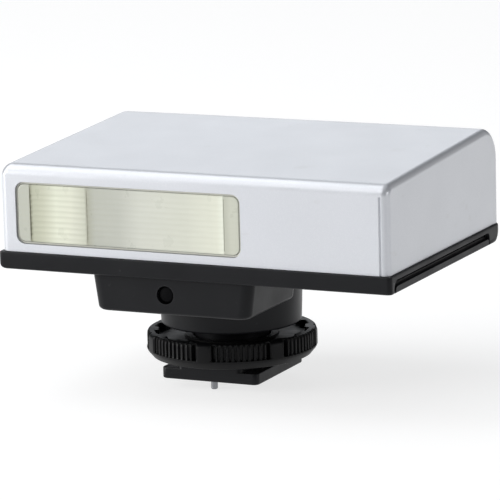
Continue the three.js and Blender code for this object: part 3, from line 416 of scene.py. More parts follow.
def make_object(name, vertices, faces):
    """A mesh object from corners in millimetres."""
    mesh = bpy.data.meshes.new(name)
    mesh.from_pydata([tuple(c * MM for c in v) for v in vertices], [], faces)
    work = bmesh.new()
    work.from_mesh(mesh)
    bmesh.ops.remove_doubles(work, verts=work.verts, dist=0.0005 * MM)
    bmesh.ops.recalc_face_normals(work, faces=work.faces)
    work.to_mesh(mesh)
    work.free()
    thing = bpy.data.objects.new(name, mesh)
    bpy.context.scene.collection.objects.link(thing)
    return thing


def arc(centre, radius, start, sweep, steps):
    """Points round a centre, from a starting angle through a sweep in degrees."""
    angles = [math.radians(start + sweep * i / steps) for i in range(steps + 1)]
    return [(centre[0] + radius * math.cos(a), centre[1] + radius * math.sin(a)) for a in angles]


def rounded_rectangle(x0, x1, y0, y1, radius, steps=6):
    left, right, front, rear = x0 + radius, x1 - radius, y0 + radius, y1 - radius
    corners = ((right, front), (right, rear), (left, rear), (left, front))
    points = []
    for i, corner in enumerate(corners):
        points += arc(corner, radius, 90 * i - 90, 90, steps)
    return points


def softened(points, radius, steps=5, closed=False):
    """A polyline with each of its corners rounded. radius is one number, or one for each point."""
    radii = radius if isinstance(radius, (list, tuple)) else [radius] * len(points)
    result = []
    count = len(points)
    for i, point in enumerate(points):
        if not closed and i in (0, count - 1) or radii[i] <= 0:
            result.append(tuple(point))
            continue
        here = Vector(point)
        before = Vector(points[i - 1]) - here
        after = Vector(points[(i + 1) % count]) - here
        angle = before.angle(after)
        if angle > math.radians(179):
            result.append(tuple(point))
            continue
        reach = min(radii[i] / math.tan(angle / 2), before.length * 0.49, after.length * 0.49)
        true = reach * math.tan(angle / 2)
        centre = here + (before.normalized() + after.normalized()).normalized() * (true / math.sin(angle / 2))
        start = here + before.normalized() * reach - centre
        end = here + after.normalized() * reach - centre
        turn = start.angle_signed(end)
        for k in range(steps + 1):
            a = -turn * k / steps
            result.append((centre.x + start.x * math.cos(a) - start.y * math.sin(a),
                           centre.y + start.x * math.sin(a) + start.y * math.cos(a)))
    return result


def loft(name, rings, closed=False):
    """A skin through rings of (x, y, z) corners, all with the same count. A closed one joins its last ring
    to its first, and any other is capped at both ends."""
    count = len(rings[0])
    vertices = [v for ring in rings for v in ring]
    faces = []
    for level in range(len(rings) if closed else len(rings) - 1):
        here, there = level * count, (level + 1) % len(rings) * count
        for i in range(count):
            j = (i + 1) % count
            faces.append((here + i, here + j, there + j, there + i))
    if not closed:
        faces.append(tuple(range(count))[::-1])
        faces.append(tuple(range((len(rings) - 1) * count, len(rings) * count)))
    return make_object(name, vertices, faces)


def prism(name, outline, low, high, axis="Z"):
    """A straight solid from a flat outline. Along Y the outline is (x, z), and along X it is (y, z)."""
    places = {
        "Z": lambda u, v, w: (u, v, w),
        "Y": lambda u, v, w: (u, w, v),
        "X": lambda u, v, w: (w, u, v),
    }
    return loft(name, [[places[axis](u, v, w) for u, v in outline] for w in (low, high)])


def block(name, x0, x1, y0, y1, z0, z1):
    return prism(name, [(x0, y0), (x1, y0), (x1, y1), (x0, y1)], z0, z1)


def lathe(name, profile, segments=72, axis="Z", centre=(0.0, 0.0, 0.0)):
    """A solid of revolution. The profile is (radius, height) pairs that start and end on the axis or meet."""
    closed = profile[0][0] > 1e-6
    vertices, faces, rows = [], [], []
    for radius, height in (profile[:-1] if closed else profile):
        row = []
        for i in range(segments if radius > 1e-6 else 1):
            angle = 2 * math.pi * i / segments
            u, v = radius * math.cos(angle), radius * math.sin(angle)
            corner = {"Z": (u, v, height), "Y": (u, height, v), "X": (height, u, v)}[axis]
            row.append(len(vertices))
            vertices.append(tuple(c + o for c, o in zip(corner, centre)))
        rows.append(row)
    pairs = list(zip(rows, rows[1:])) + ([(rows[-1], rows[0])] if closed else [])
    for low, high in pairs:
        for i in range(segments):
            j = (i + 1) % segments
            corners = [low[i % len(low)], low[j % len(low)], high[j % len(high)], high[i % len(high)]]
            face = tuple(dict.fromkeys(corners))
            if len(face) > 2:
                faces.append(face)
    return make_object(name, vertices, faces)


def inset_rectangle(low, high, inset, radius, steps=6, upright=False):
    """A rounded outline that stands inset inside a box, seen along Z, or along Y if it's upright."""
    across = 2 if upright else 1
    return rounded_rectangle(low[0] + inset, high[0] - inset, low[across] + inset, high[across] - inset,
                             radius, steps)


def plan_ring(half, front, rear, corner, inset, z, steps):
    """A symmetric rounded plan at a height, drawn in by inset."""
    outline = rounded_rectangle(-half + inset, half - inset, front + inset, rear - inset,
                                corner - inset * 0.5, steps)
    return [(x, y, z) for x, y in outline]


def rod(name, radius, low, high, segments=48, axis="Z", centre=(0.0, 0.0, 0.0)):
    return lathe(name, [(0, low), (radius, low), (radius, high), (0, high)], segments, axis, centre)


def settle(thing):
    """Applies an object's modifiers."""
    graph = bpy.context.evaluated_depsgraph_get()
    mesh = bpy.data.meshes.new_from_object(thing.evaluated_get(graph))
    old = thing.data
    thing.modifiers.clear()
    thing.data = mesh
    mesh.name = thing.name
    bpy.data.meshes.remove(old)


def combine(target, other, operation):
    modifier = target.modifiers.new("combine", "BOOLEAN")
    modifier.operation = operation
    modifier.solver = "EXACT"
    modifier.use_self = operation == "UNION"
    modifier.object = other
    settle(target)
    bpy.data.objects.remove(other)


def cut(target, *cutters):
    for cutter in cutters:
        combine(target, cutter, "DIFFERENCE")


def bevel(target, name, width, segments, angle):
    """Adds a modifier that rounds every edge sharper than angle by width millimetres."""
    modifier = target.modifiers.new(name, "BEVEL")
    modifier.width = width * MM
    modifier.segments = segments
    modifier.limit_method = "ANGLE"
    modifier.angle_limit = math.radians(angle)


def ease(target, width, segments, angle):
    """Rounds the sharp edges for good."""
    bevel(target, "ease", width, segments, angle)
    settle(target)


def shade(target):
    mesh = target.data
    mesh.polygons.foreach_set("use_smooth", [True] * len(mesh.polygons))
    mesh.set_sharp_from_angle(angle=math.radians(32))
    weighted = target.modifiers.new("normals", "WEIGHTED_NORMAL")
    weighted.keep_sharp = True


def install(piece, node, body="flash_body"):
    """Shades a finished piece, gives it its node's material and body, and hides the node."""
    slot = SLOT_OF[node]
    shade(piece)
    piece.data.materials.clear()
    piece.data.materials.append(MATERIALS[slot])
    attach(piece, body)
    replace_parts(piece, node)


def box_mm(node):
    """A node's lowest and highest corner, in millimetres."""
    low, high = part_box(node)
    return [c / MM for c in low], [c / MM for c in high]


def middle_mm(node, axis="Z"):
    """A node's middle, with 0 along the axis that a lathe turns about."""
    middle = [(a + b) / 2 for a, b in zip(*box_mm(node))]
    middle["XYZ".index(axis)] = 0
    return middle


def radius_mm(node):
    low, high = box_mm(node)
    return (high[0] - low[0]) / 2


SLOT_OF = {entry["node"]: entry["material_slot"] for entry in frame["record"]["subparts"]}

# ------ cover

COVER_LOW, COVER_HIGH = box_mm("top_cover")
COVER_WALL = 1.2
COVER_TOP = {"front": 39.7, "rear": 42.15, "crown": 0.12}
COVER_EDGES = {"front_top": 2.0, "rear_top": 6.0, "left_top": 2.3, "right_top": 1.2,
               "front_corner": 1.3, "rear_corner": 1.6}


def cover_top(y):
    share = (y - COVER_LOW[1]) / (COVER_HIGH[1] - COVER_LOW[1])
    return COVER_TOP["front"] + (COVER_TOP["rear"] - COVER_TOP["front"]) * share


def gate(value, low, high):
    """0 below low, 1 above high, with a smooth step between."""
    t = min(1.0, max(0.0, (value - low) / (high - low)))
    return t * t * (3 - 2 * t)


def crown(x, y, z):
    """How much the top face swells at a point."""
    u = (2 * x - COVER_LOW[0] - COVER_HIGH[0]) / (COVER_HIGH[0] - COVER_LOW[0])
    v = (2 * y - COVER_LOW[1] - COVER_HIGH[1]) / (COVER_HIGH[1] - COVER_LOW[1])
    share = gate(z, cover_top(y) - 3.0, cover_top(y) - 0.2)
    return COVER_TOP["crown"] * share * max(0.0, 1 - u ** 4) * max(0.0, 1 - v ** 2)


def cover_profile(front_in, top_in, rear_in):
    """The side outline from the front's lower edge over the top, as (y, z, role) with role 0 at the front,
    1 along the top and 2 at the rear, so that each point knows how its edge is rounded."""
    front, rear = COVER_LOW[1] + front_in, COVER_HIGH[1] - rear_in
    small = max(COVER_EDGES["front_top"] - (front_in + top_in) / 2, 0.12)
    large = max(COVER_EDGES["rear_top"] - (rear_in + top_in) / 2, 0.5)
    low = COVER_LOW[2]
    points = [(front, low + (cover_top(front) - top_in - small - low) * i / 4, 0.0) for i in range(4)]
    start, end = front + small, rear - large
    bend = arc((start, cover_top(start) - top_in - small), small, 180, -87, 8)
    points.extend((y, z, i / 8) for i, (y, z) in enumerate(bend))
    for i in range(1, 14):
        y = start + (end - start) * i / 14
        points.append((y, cover_top(y) - top_in, 1.0))
    lift = cover_top(end) - top_in - large
    bend = arc((end, lift), large, 93, -93, 16)
    points.extend((y, z, 1.0 + i / 16) for i, (y, z) in enumerate(bend))
    points.extend((rear, lift + (low - lift) * i / 3, 2.0) for i in range(1, 4))
    return points


def cover_columns(inset):
    """Columns of corners from the left end to the right end, rounded over at both ends."""
    turns, spans = 8, 18
    columns = []
    for side, end, top in ((-1, COVER_LOW[0] + inset, "left_top"), (1, COVER_HIGH[0] - inset, "right_top")):
        half = []
        radii = [max(COVER_EDGES[key] - inset, 0.25) for key in ("front_corner", top, "rear_corner")]
        for i in range(turns + 1):
            angle = math.radians(90 * i / turns)
            sinks = [radius * (1 - math.cos(angle)) for radius in radii]
            profile = cover_profile(*(inset + sink for sink in sinks))
            column = []
            for y, z, role in profile:
                low = int(min(role, 1.0)) if role < 2 else 1
                radius = radii[low] + (radii[low + 1] - radii[low]) * (role - low)
                column.append((end - side * radius * (1 - math.sin(angle)), y, z))
            half.append(column)
        columns.append(half)
    left, right = columns[0][::-1], columns[1]
    middle = []
    for i in range(1, spans):
        share = i / spans
        middle.append([tuple(a + (b - a) * share for a, b in zip(p, q)) for p, q in zip(left[-1], right[0])])
    return [[(x, y, z + crown(x, y, z)) for x, y, z in column] for column in left + middle + right]


def cover_skin():
    """The pressed shell: an outer and an inner skin that meet round the open underside."""
    outer, inner = cover_columns(0.0), cover_columns(COVER_WALL)
    count, width = len(outer[0]), len(outer)
    vertices = [corner for skin in (outer, inner) for column in skin for corner in column]
    faces = []
    for start, flip in ((0, 1), (count * width, -1)):
        for i in range(width - 1):
            for k in range(count - 1):
                a = start + i * count + k
                faces.append((a, a + 1, a + count + 1, a + count)[::flip])
        faces.append(tuple(range(start, start + count))[::-flip])
        last = start + (width - 1) * count
        faces.append(tuple(range(last, last + count))[::flip])
    rim = [i * count for i in range(width)] + [i * count + count - 1 for i in range(width)][::-1]
    for i, a in enumerate(rim):
        b = rim[(i + 1) % len(rim)]
        faces.append((a, b, b + count * width, a + count * width))
    return make_object("top_cover_shell", vertices, faces)


WINDOW = {"left": -28.8, "right": 14.0, "bottom": 25.85, "top": 36.7, "corner": 1.6}
PANEL = {"left": -22.0, "right": 10.0, "bottom": 26.4, "top": 34.6, "corner": 1.2}


def opening(name, edges, y0, y1, grow=0.0):
    outline = rounded_rectangle(edges["left"] - grow, edges["right"] + grow, edges["bottom"] - grow,
                                edges["top"] + grow, edges["corner"] + grow)
    return prism(name, outline, y0, y1, "Y")


def make_cover():
    """The shell with its two openings and a pressed crease beside the front right edge."""
    shell = cover_skin()
    cut(shell,
        opening("window_cutter", WINDOW, COVER_LOW[1] - 1, COVER_LOW[1] + 3),
        opening("panel_cutter", PANEL, COVER_HIGH[1] - 3, COVER_HIGH[1] + 1))
    front, crease = COVER_LOW[1], COVER_HIGH[0] - COVER_EDGES["front_corner"] - 0.2
    half, depth = 0.3, 0.25
    line = [(crease - half, front - 0.05), (crease + half, front - 0.05), (crease, front + depth)]
    cut(shell, prism("crease_cutter", line, COVER_LOW[2] - 1, COVER_TOP["front"] - COVER_EDGES["front_top"]))
    ease(shell, 0.14, 2, 50)
    install(shell, "top_cover")


# ------ base tray and battery door

TRAY_LOW, TRAY_HIGH = box_mm("base_tray")
DOOR_LOW, DOOR_HIGH = box_mm("battery_door")
TRAY_EDGE = COVER_LOW[2] - 0.05
TRAY_RIM = 1.8
TRAY_SLACK = 0.2
THROAT_RADIUS = 10.4
TRAY_ROUND = {"front": 0.5, "right": 0.3, "rear": 2.0, "left": 1.0}
TRAY_CORNERS = {"front": 0.8, "rear": 2.9}
DOOR_TONGUE = {"reach": 0.8, "low": 22.3}
GROOVE = {"front": -23.95, "rear": 19.35, "top": 23.6, "depth": 0.8, "radius": 1.5}
LIP_TOP = 22.45


def eased_edge(base, radius, steps=6):
    """Insets and heights of a rounded lower edge."""
    for i in range(steps + 1):
        angle = math.radians(90 * i / steps)
        yield radius * (1 - math.sin(angle)), base + radius * (1 - math.cos(angle))


def sunk(radius, height):
    """How far a rounded lower edge has drawn in at a height above the underside."""
    if height >= radius:
        return 0.0
    return radius - math.sqrt(max(radius ** 2 - (radius - height) ** 2, 0.0))


def tray_ring(z, draw=0.0):
    """The tray's plan at a height: nearly square at the front, rounder at the rear."""
    height = z - TRAY_LOW[2]
    inset = {side: sunk(radius, height) + draw for side, radius in TRAY_ROUND.items()}
    x0, x1 = TRAY_LOW[0] + inset["left"], TRAY_HIGH[0] - inset["right"]
    y0, y1 = TRAY_LOW[1] + inset["front"], TRAY_HIGH[1] - inset["rear"]
    corners = []
    for cx, cy, sx, sy, start, kind in ((x1, y0, -1, 1, -90, "front"), (x1, y1, -1, -1, 0, "rear"),
                                        (x0, y1, 1, -1, 90, "rear"), (x0, y0, 1, 1, 180, "front")):
        radius = TRAY_CORNERS[kind] - draw
        bend = arc((cx + sx * radius, cy + sy * radius), radius, start, 90, 8)
        corners.extend((x, y, z) for x, y in bend)
    return corners


def groove_outline(front, rear, top, radius):
    """An upright shape in Y and Z with rounded upper corners, running down past the underside."""
    low = TRAY_LOW[2] - 2
    return softened([(front, low), (rear, low), (rear, top), (front, top)],
                    [0, 0, radius * 0.6, radius], 8, closed=True)


def make_tray():
    levels = [0.0, 0.03, 0.08, 0.15, 0.22, 0.3, 0.4, 0.5, 0.65, 0.82, 1.0, 1.3, 1.65, 2.0]
    rings = [tray_ring(TRAY_LOW[2] + height) for height in levels]
    rings += [tray_ring(TRAY_EDGE - 0.3), tray_ring(TRAY_EDGE - 0.08, 0.06), tray_ring(TRAY_EDGE, 0.18)]
    tray = loft("base_tray_moulding", rings)
    below, above = 20, 24
    rim, slack = TRAY_RIM, TRAY_SLACK
    left, right, floor = DOOR_LOW[0] - slack, DOOR_HIGH[0], DOOR_HIGH[2]
    y0, y1 = DOOR_LOW[1], DOOR_HIGH[1]
    tongue = DOOR_TONGUE["reach"]
    inside = inset_rectangle(TRAY_LOW, TRAY_HIGH, rim, 0.9)
    finger = groove_outline(GROOVE["front"], GROOVE["rear"], GROOVE["top"], GROOVE["radius"])
    cut(tray,
        prism("pan_cutter", inside, floor, TRAY_EDGE + 1),
        block("slot_cutter", left, right - rim + 0.1, y0 - slack, y1 + slack,
              DOOR_TONGUE["low"] - slack, floor + slack),
        block("mouth_cutter", left, right + 1, y0 + tongue - slack, y1 - tongue + slack,
              below, floor + slack),
        block("end_cutter", right - rim - slack, right + 1, y0 - slack, y1 + slack, below, floor + slack),
        prism("groove_cutter", finger, right - GROOVE["depth"], right + 1, "X"),
        rod("throat_cutter", THROAT_RADIUS, below, above))
    head, shank, base = 1.75, 0.95, TRAY_LOW[2]
    seat = [(0, below), (head, below), (head, base + 0.55), (shank, base + 0.56), (shank, above), (0, above)]
    for i in range(1, 5):
        cut(tray, lathe("seat_cutter", seat, 32, centre=middle_mm(f"case_screw_{i}")))
    ease(tray, 0.08, 2, 55)
    install(tray, "base_tray")


def make_door():
    """The sliding door: a plate with a grip, and an end that closes the side of the tray."""
    low, high = DOOR_LOW, DOOR_HIGH
    tongue, rim = DOOR_TONGUE["reach"], TRAY_RIM
    y0, y1 = low[1] + tongue, high[1] - tongue
    plate = block("battery_door_moulding", low[0], high[0] - 1.0, y0, y1, low[2], high[2])
    tongues = block("tongues", low[0], high[0] - rim, low[1], high[1], DOOR_TONGUE["low"], high[2])
    end = block("door_end", high[0] - rim, high[0] - GROOVE["depth"], low[1], high[1], low[2], high[2])
    lip = prism("door_lip", groove_outline(low[1], high[1], LIP_TOP, 0.75), high[0] - rim, high[0], "X")
    cut(lip, block("trim", low[0] - 1, high[0] + 1, low[1] - 3, high[1] + 3, low[2] - 5, low[2]))
    for part in (tongues, end, lip):
        combine(plate, part, "UNION")
    far = 20.0
    rings = []
    for inset, z in eased_edge(low[2], TRAY_ROUND["right"]):
        edge = high[0] - inset
        rings.append([(low[0] - far, low[1] - far, z), (edge, low[1] - far, z),
                      (edge, high[1] + far, z), (low[0] - far, high[1] + far, z)])
    rings.append([(x, y, high[2] + 1) for x, y, z in rings[-1]])
    combine(plate, loft("rounding", rings), "INTERSECT")
    middle = (low[1] + high[1]) / 2
    grooves, pitch = 9, 1.3
    for i in range(grooves):
        x = high[0] - 6.5 - i * pitch
        half = 8.0 - abs(i - grooves // 2) * 0.5
        section = [(x, low[2] - 1), (x + 0.75, low[2] - 1), (x + 0.6, low[2] + 0.4), (x + 0.15, low[2] + 0.4)]
        cut(plate, prism("grip_cutter", section, middle - half, middle + half, "Y"))
    ease(plate, 0.1, 2, 40)
    install(plate, "battery_door", "door")


# ------ pedestal, column and foot

HOUSING_LOW, HOUSING_HIGH = box_mm("shoe_housing")
PEDESTAL = {"bottom": 14.8, "rear": -4.0, "low_half": 14.4, "high_half": 15.3, "corner": 1.9, "edge": 0.8}
COLUMN = {"bottom": 9.1, "low_radius": 12.4, "high_radius": 12.9}
STEM_RADIUS = 6.6
ROOM = {"floor": 10.6, "low_radius": 10.9, "high_radius": 11.4}
CHAMBER = {"half": 13.0, "wall": 1.5, "rear": -5.0, "floor": 16.3}
CONTACT_BORE = 4.1
SENSOR_CENTRE = (-1.0, 0, 18.3)
SENSOR_RADIUS = 1.5


def pedestal_ring(inset, z):
    """The pedestal's plan at a height. It widens upwards."""
    share = (z - PEDESTAL["bottom"]) / (HOUSING_HIGH[2] - PEDESTAL["bottom"])
    half = PEDESTAL["low_half"] + (PEDESTAL["high_half"] - PEDESTAL["low_half"]) * share
    return plan_ring(half, HOUSING_LOW[1], PEDESTAL["rear"], PEDESTAL["corner"], inset, z, 8)


def make_housing():
    """The column under the body with the pedestal on its front, hollowed for the clamp and the sensor."""
    top = HOUSING_HIGH[2]
    profile = softened([
        (0, HOUSING_LOW[2]), (STEM_RADIUS, HOUSING_LOW[2]), (STEM_RADIUS, COLUMN["bottom"]),
        (COLUMN["low_radius"], COLUMN["bottom"]), (COLUMN["high_radius"], top), (0, top)],
        [0, 0.15, 0.2, 0.45, 0, 0], 5)
    housing = lathe("shoe_housing_moulding", profile, 112)
    rings = [pedestal_ring(inset, z) for inset, z in eased_edge(PEDESTAL["bottom"], PEDESTAL["edge"])]
    rings.append(pedestal_ring(0.0, top))
    combine(housing, loft("pedestal", rings), "UNION")
    floor, above = ROOM["floor"], top + 1
    room = [(0, floor), (ROOM["low_radius"], floor), (ROOM["high_radius"], above), (0, above)]
    cut(housing,
        lathe("room_cutter", room, 64),
        block("chamber_cutter", -CHAMBER["half"], CHAMBER["half"], HOUSING_LOW[1] + CHAMBER["wall"],
              CHAMBER["rear"], CHAMBER["floor"], above),
        rod("bore_cutter", CONTACT_BORE, 3, 11),
        rod("eye_cutter", SENSOR_RADIUS + 0.1, -25, -21, axis="Y", centre=SENSOR_CENTRE))
    ease(housing, 0.08, 2, 60)
    install(housing, "shoe_housing")


def make_sensor():
    """A dark filter with a slightly domed face, set back in its hole."""
    front, radius = HOUSING_LOW[1] + 0.45, SENSOR_RADIUS
    flange = radius + 0.45
    profile = softened([
        (0, front - 0.12), (radius - 0.35, front), (radius - 0.02, front + 0.15),
        (radius - 0.02, front + 1.1), (flange, front + 1.1), (flange, front + 1.7), (0, front + 1.7)],
        0.08, 3)
    install(lathe("sensor_filter", profile, 48, "Y", SENSOR_CENTRE), "sensor_window")


FOOT_LOW, FOOT_HIGH = box_mm("hot_shoe_foot")
FOOT_CORNER = 1.0
FLANGE_TOP = 2.0
NECK_HALF = 6.2
PIN_Y = -7.7
CONTACT_HOLE = 4.0
PIN_HOLE = 0.7


def foot_ring(half, inset, z):
    return plan_ring(half, FOOT_LOW[1], FOOT_HIGH[1], FOOT_CORNER, inset, z, 6)


def make_foot():
    """A flange and a neck, with holes for the contact block, the lock pin and four countersunk screws."""
    half, top, step = FOOT_HIGH[0], FOOT_HIGH[2], FLANGE_TOP
    flange = [*eased_edge(0.0, 0.28, 4), (0.0, step - 0.2), (0.06, step - 0.05), (0.2, step)]
    neck = [(0.0, 1.0), (0.0, top - 0.15), (0.15, top)]
    foot = loft("shoe_foot_moulding", [foot_ring(half, inset, z) for inset, z in flange])
    combine(foot, loft("neck", [foot_ring(NECK_HALF, inset, z) for inset, z in neck]), "UNION")
    below, above, head, shank = -1, 5, 1.55, 0.85
    cut(foot,
        rod("block_cutter", CONTACT_HOLE, below, above),
        rod("pin_cutter", PIN_HOLE, below, above, 24, centre=(0, PIN_Y, 0)))
    countersink = [(0, below), (head, below), (head, 0.2), (shank, 1.1), (shank, above), (0, above)]
    for i in range(1, 5):
        cut(foot, lathe("screw_cutter", countersink, 32, centre=middle_mm(f"foot_screw_{i}")))
    ease(foot, 0.07, 2, 55)
    install(foot, "hot_shoe_foot")


# ------ lock ring

RING_LOW, RING_HIGH = box_mm("lock_ring")
RING_RADIUS = RING_HIGH[0]
LOBES = 7
SECTOR = 360 / LOBES
KNURL = {"phase": -84.4, "ribs": 9, "depth": 0.42, "notch": 1.05}
RING_INNER = {"rim": 12.85, "hub": 8.3, "bore": 6.9, "recess": 12.0, "recess_top": 4.7, "floor": 6.6}


def knurl_depth(degrees):
    """How far the rim is cut in at an angle: fine ribs, a deeper notch at each side of a smooth lobe."""
    lobe, notch = SECTOR * 0.2, SECTOR * 0.07
    along = (degrees - KNURL["phase"] + lobe / 2) % SECTOR
    if along < lobe:
        edge = min(along, lobe - along)
        return 0.18 * (1 - gate(edge, 0.0, 0.9))
    along -= lobe
    panel = SECTOR - lobe - 2 * notch
    if along < notch or along > notch + panel:
        side = along if along < notch else along - notch - panel
        return KNURL["notch"] * gate(min(side, notch - side), 0.0, notch * 0.28) + 0.12
    turn = (along - notch) / panel * KNURL["ribs"] % 1.0
    rib = gate(abs(turn - 0.5), 0.18, 0.32)
    return 0.12 + KNURL["depth"] * (1 - rib)


def ring_outer():
    """Rim stations as (height, radius, share of the knurl), from the underside up and over to the inside."""
    cone = 4.8
    low, top, rim = RING_LOW[2], RING_HIGH[2], RING_RADIUS
    return [
        (low, 13.9, 0.0), (low + 0.08, 14.12, 0.0), (low + 0.3, 14.28, 0.0),
        (cone - 0.45, 14.92, 0.0), (cone - 0.15, 15.06, 0.0), (cone, rim, 0.05), (cone + 0.12, rim, 0.7),
        (cone + 0.3, rim, 1.0), (top - 0.75, rim, 1.0), (top - 0.5, rim - 0.03, 0.9),
        (top - 0.3, rim - 0.1, 0.7), (top - 0.12, rim - 0.24, 0.45), (top, rim - 0.5, 0.2),
    ]


def inner_wall(degrees):
    """The rim's inner radius: pads stand in between shallow pockets."""
    along = (degrees - KNURL["phase"] + SECTOR * 0.33) % (SECTOR / 2)
    pocket = gate(along, 1.5, 3.5) * (1 - gate(along, SECTOR * 0.3, SECTOR * 0.3 + 2))
    return RING_INNER["rim"] + 0.75 * pocket


def make_ring():
    """Closed rows of radius and height that run up the knurled rim, over it and down round the inside."""
    segments = LOBES * 110
    turns = [360 * i / segments for i in range(segments)]
    low, top = RING_LOW[2], RING_HIGH[2]
    hub, bore, recess = RING_INNER["hub"], RING_INNER["bore"], RING_INNER["recess"]
    floor, under = RING_INNER["floor"], RING_INNER["recess_top"]
    rows = [[(radius - knurl_depth(turn) * share, z) for turn in turns] for z, radius, share in ring_outer()]
    for z, blend in ((top, 0.22), (top - 0.1, 0.06), (top - 0.3, 0.0), (floor + 0.12, 0.0)):
        rows.append([(inner_wall(turn) + blend, z) for turn in turns])
    inside = [(12.7, floor), (hub + 0.1, floor), (hub, floor + 0.1), (hub, floor + 0.2),
              (hub - 0.12, floor + 0.3), (bore + 0.15, floor + 0.3), (bore, floor + 0.15),
              (bore, under + 0.1), (bore + 0.1, under), (recess, under), (recess, low + 0.15),
              (recess + 0.15, low)]
    rows += [[corner] * segments for corner in inside]
    angles = [2 * math.pi * i / segments for i in range(segments)]
    rings = [[(r * math.cos(a), r * math.sin(a), z) for a, (r, z) in zip(angles, row)] for row in rows]
    install(loft("lock_ring_moulding", rings, closed=True), "lock_ring", "lock_ring")


def make_pin():
    low, high = box_mm("lock_pin")
    radius = radius_mm("lock_pin")
    profile = softened([(0, low[2]), (radius - 0.12, low[2]), (radius, low[2] + 0.2), (radius, high[2]),
                        (0, high[2])], [0, 0.15, 0.15, 0, 0], 4)
    install(lathe("lock_pin_steel", profile, 32, centre=(0, PIN_Y, 0)), "lock_pin", "clamp_carrier")


# ------ contacts and screws


def make_contact(node, body, tip):
    """A plated plunger with a domed tip, tip millimetres in radius."""
    low, high = box_mm(node)
    head, shoulder = radius_mm(node), 2.5
    dome = tip * 0.6
    profile = [(0, low[2])]
    for i in range(1, 9):
        angle = math.radians(90 * i / 8)
        profile.append((tip * math.sin(angle), low[2] + dome * (1 - math.cos(angle))))
    profile += [(tip, shoulder), (head, shoulder), (head, high[2]), (0, high[2])]
    install(lathe(f"{node}_plunger", profile, 40, centre=middle_mm(node)), node, body)


def make_screw(node, head, depth, dome):
    """A cross-recess screw whose head is seen from below."""
    low, high = box_mm(node)
    centre = middle_mm(node)
    base, shank = low[2], 0.75
    profile = softened([(0, base), (head * 0.8, base), (head, base + dome), (head * 0.96, base + dome + 0.08),
                        (shank, base + depth), (shank, high[2] - 0.5), (0.3, high[2]), (0, high[2])], 0.05, 3)
    screw = lathe(f"{node}_fastener", profile, 40, centre=centre)
    long, short = head * 0.62, 0.2
    for u, v in ((long, short), (short, long)):
        cut(screw, block("recess", centre[0] - u, centre[0] + u, centre[1] - v, centre[1] + v,
                         base - 1, base + depth * 0.55))
    ease(screw, 0.03, 2, 50)
    install(screw, node)


# ------ flash window

def rib_cutter(face, outward, left, right, depth, low, high):
    """A comb that cuts horizontal ribs into a face. outward is +1 or -1, the side of the face that is air."""
    steps = int((high - low) / RIB_PITCH)
    clear = 0.01
    outline = [(face + outward * 0.5, low)]
    for k in range(steps):
        for i in range(6):
            sink = depth * math.sin(math.pi * i / 6) - clear
            outline.append((face - outward * sink, low + (k + i / 6) * RIB_PITCH))
    outline.append((face + outward * 0.5, low + steps * RIB_PITCH))
    return prism("rib_cutter", outline, left, right, "X")


def make_lens():
    """The window panel: softened edges, ribs on both faces that are deeper at its left, and upright lines."""
    low, high = box_mm("flash_lens")
    front, back, z0, z1 = low[1], high[1], low[2], high[2]
    rings = []
    for inset, y in ((0.3, front), (0.1, front + 0.08), (0.0, front + 0.3), (0.0, back)):
        outline = inset_rectangle(low, high, inset, 1.25 - inset * 0.5, 8, upright=True)
        rings.append([(x, y, z) for x, z in outline])
    lens = loft("flash_lens_panel", rings)
    first, step, last = (LENS_STRIPS[key] for key in ("left", "step", "right"))
    for face, outward, deep, shallow in ((front, -1, 0.08, 0.04), (back, 1, 0.45, 0.14)):
        cut(lens, rib_cutter(face, outward, first, step, deep, z0 + 1.0, z1 - 0.9),
            rib_cutter(face, outward, step + 0.3, last, shallow, z0 + 1.0, z1 - 0.9))
    for x, width, depth in ((first - 0.12, 0.2, 0.2), (step + 0.15, 0.14, 0.12), (last + 0.12, 0.16, 0.12)):
        line = [(x - width / 2, front - 0.1), (x + width / 2, front - 0.1), (x, front + depth)]
        cut(lens, prism("line_cutter", line, z0 + 0.6, z1 - 0.6))
    install(lens, "flash_lens")


SEAL_FRONT = -24.55
SEAL_PROUD = 0.02
SEAL_WIDTH = 0.28


def make_gasket():
    """A thin seal round the window panel, which stands slightly proud at its inner edge."""
    low, high = box_mm("window_gasket")
    outer = inset_rectangle(low, high, 0.0, 1.5, 8, upright=True)
    inner = inset_rectangle(low, high, SEAL_WIDTH, 1.5 - SEAL_WIDTH, 8, upright=True)
    section = [(outer, SEAL_FRONT), (outer, high[1]), (inner, high[1]), (inner, SEAL_FRONT - SEAL_PROUD)]
    rings = [[(x, y, z) for x, z in outline] for outline, y in section]
    install(loft("window_seal", rings, closed=True), "window_gasket")


def reflector_shell(name, inset, shift):
    """A trough with a parabolic section and sloping ends, drawn in by inset and moved along Y by shift."""
    low, high = box_mm("reflector")
    middle = (low[2] + high[2]) / 2
    mouth, deep, slope, steps = -22.0, 9.7, 2.2, 28
    half = (high[2] - low[2]) / 2 - 0.4 + (0.4 - inset)
    left, right = [], []
    for i in range(steps + 1):
        z = half * (1 - 2 * i / steps)
        y = mouth + (deep + (0.4 - inset)) * (1 - (z / half) ** 2)
        lean = slope * (y - mouth) / deep
        left.append((low[0] + inset + lean, y + shift, middle + z))
        right.append((high[0] - inset - lean, y + shift, middle + z))
    return loft(name, [left, right])


TUBE = {"radius": 2.05, "centre": (0, -14.6, 31.3)}


def make_reflector():
    """The trough, hollowed out, with a hole at each end for the tube."""
    outer = reflector_shell("flash_reflector", 0.0, 0.0)
    cut(outer,
        reflector_shell("reflector_cutter", 0.35, -0.25),
        rod("tube_cutter", TUBE["radius"], -40, 20, 32, "X", TUBE["centre"]))
    install(outer, "reflector")


# ------ rear controls

KNOB_RIDGES = 4


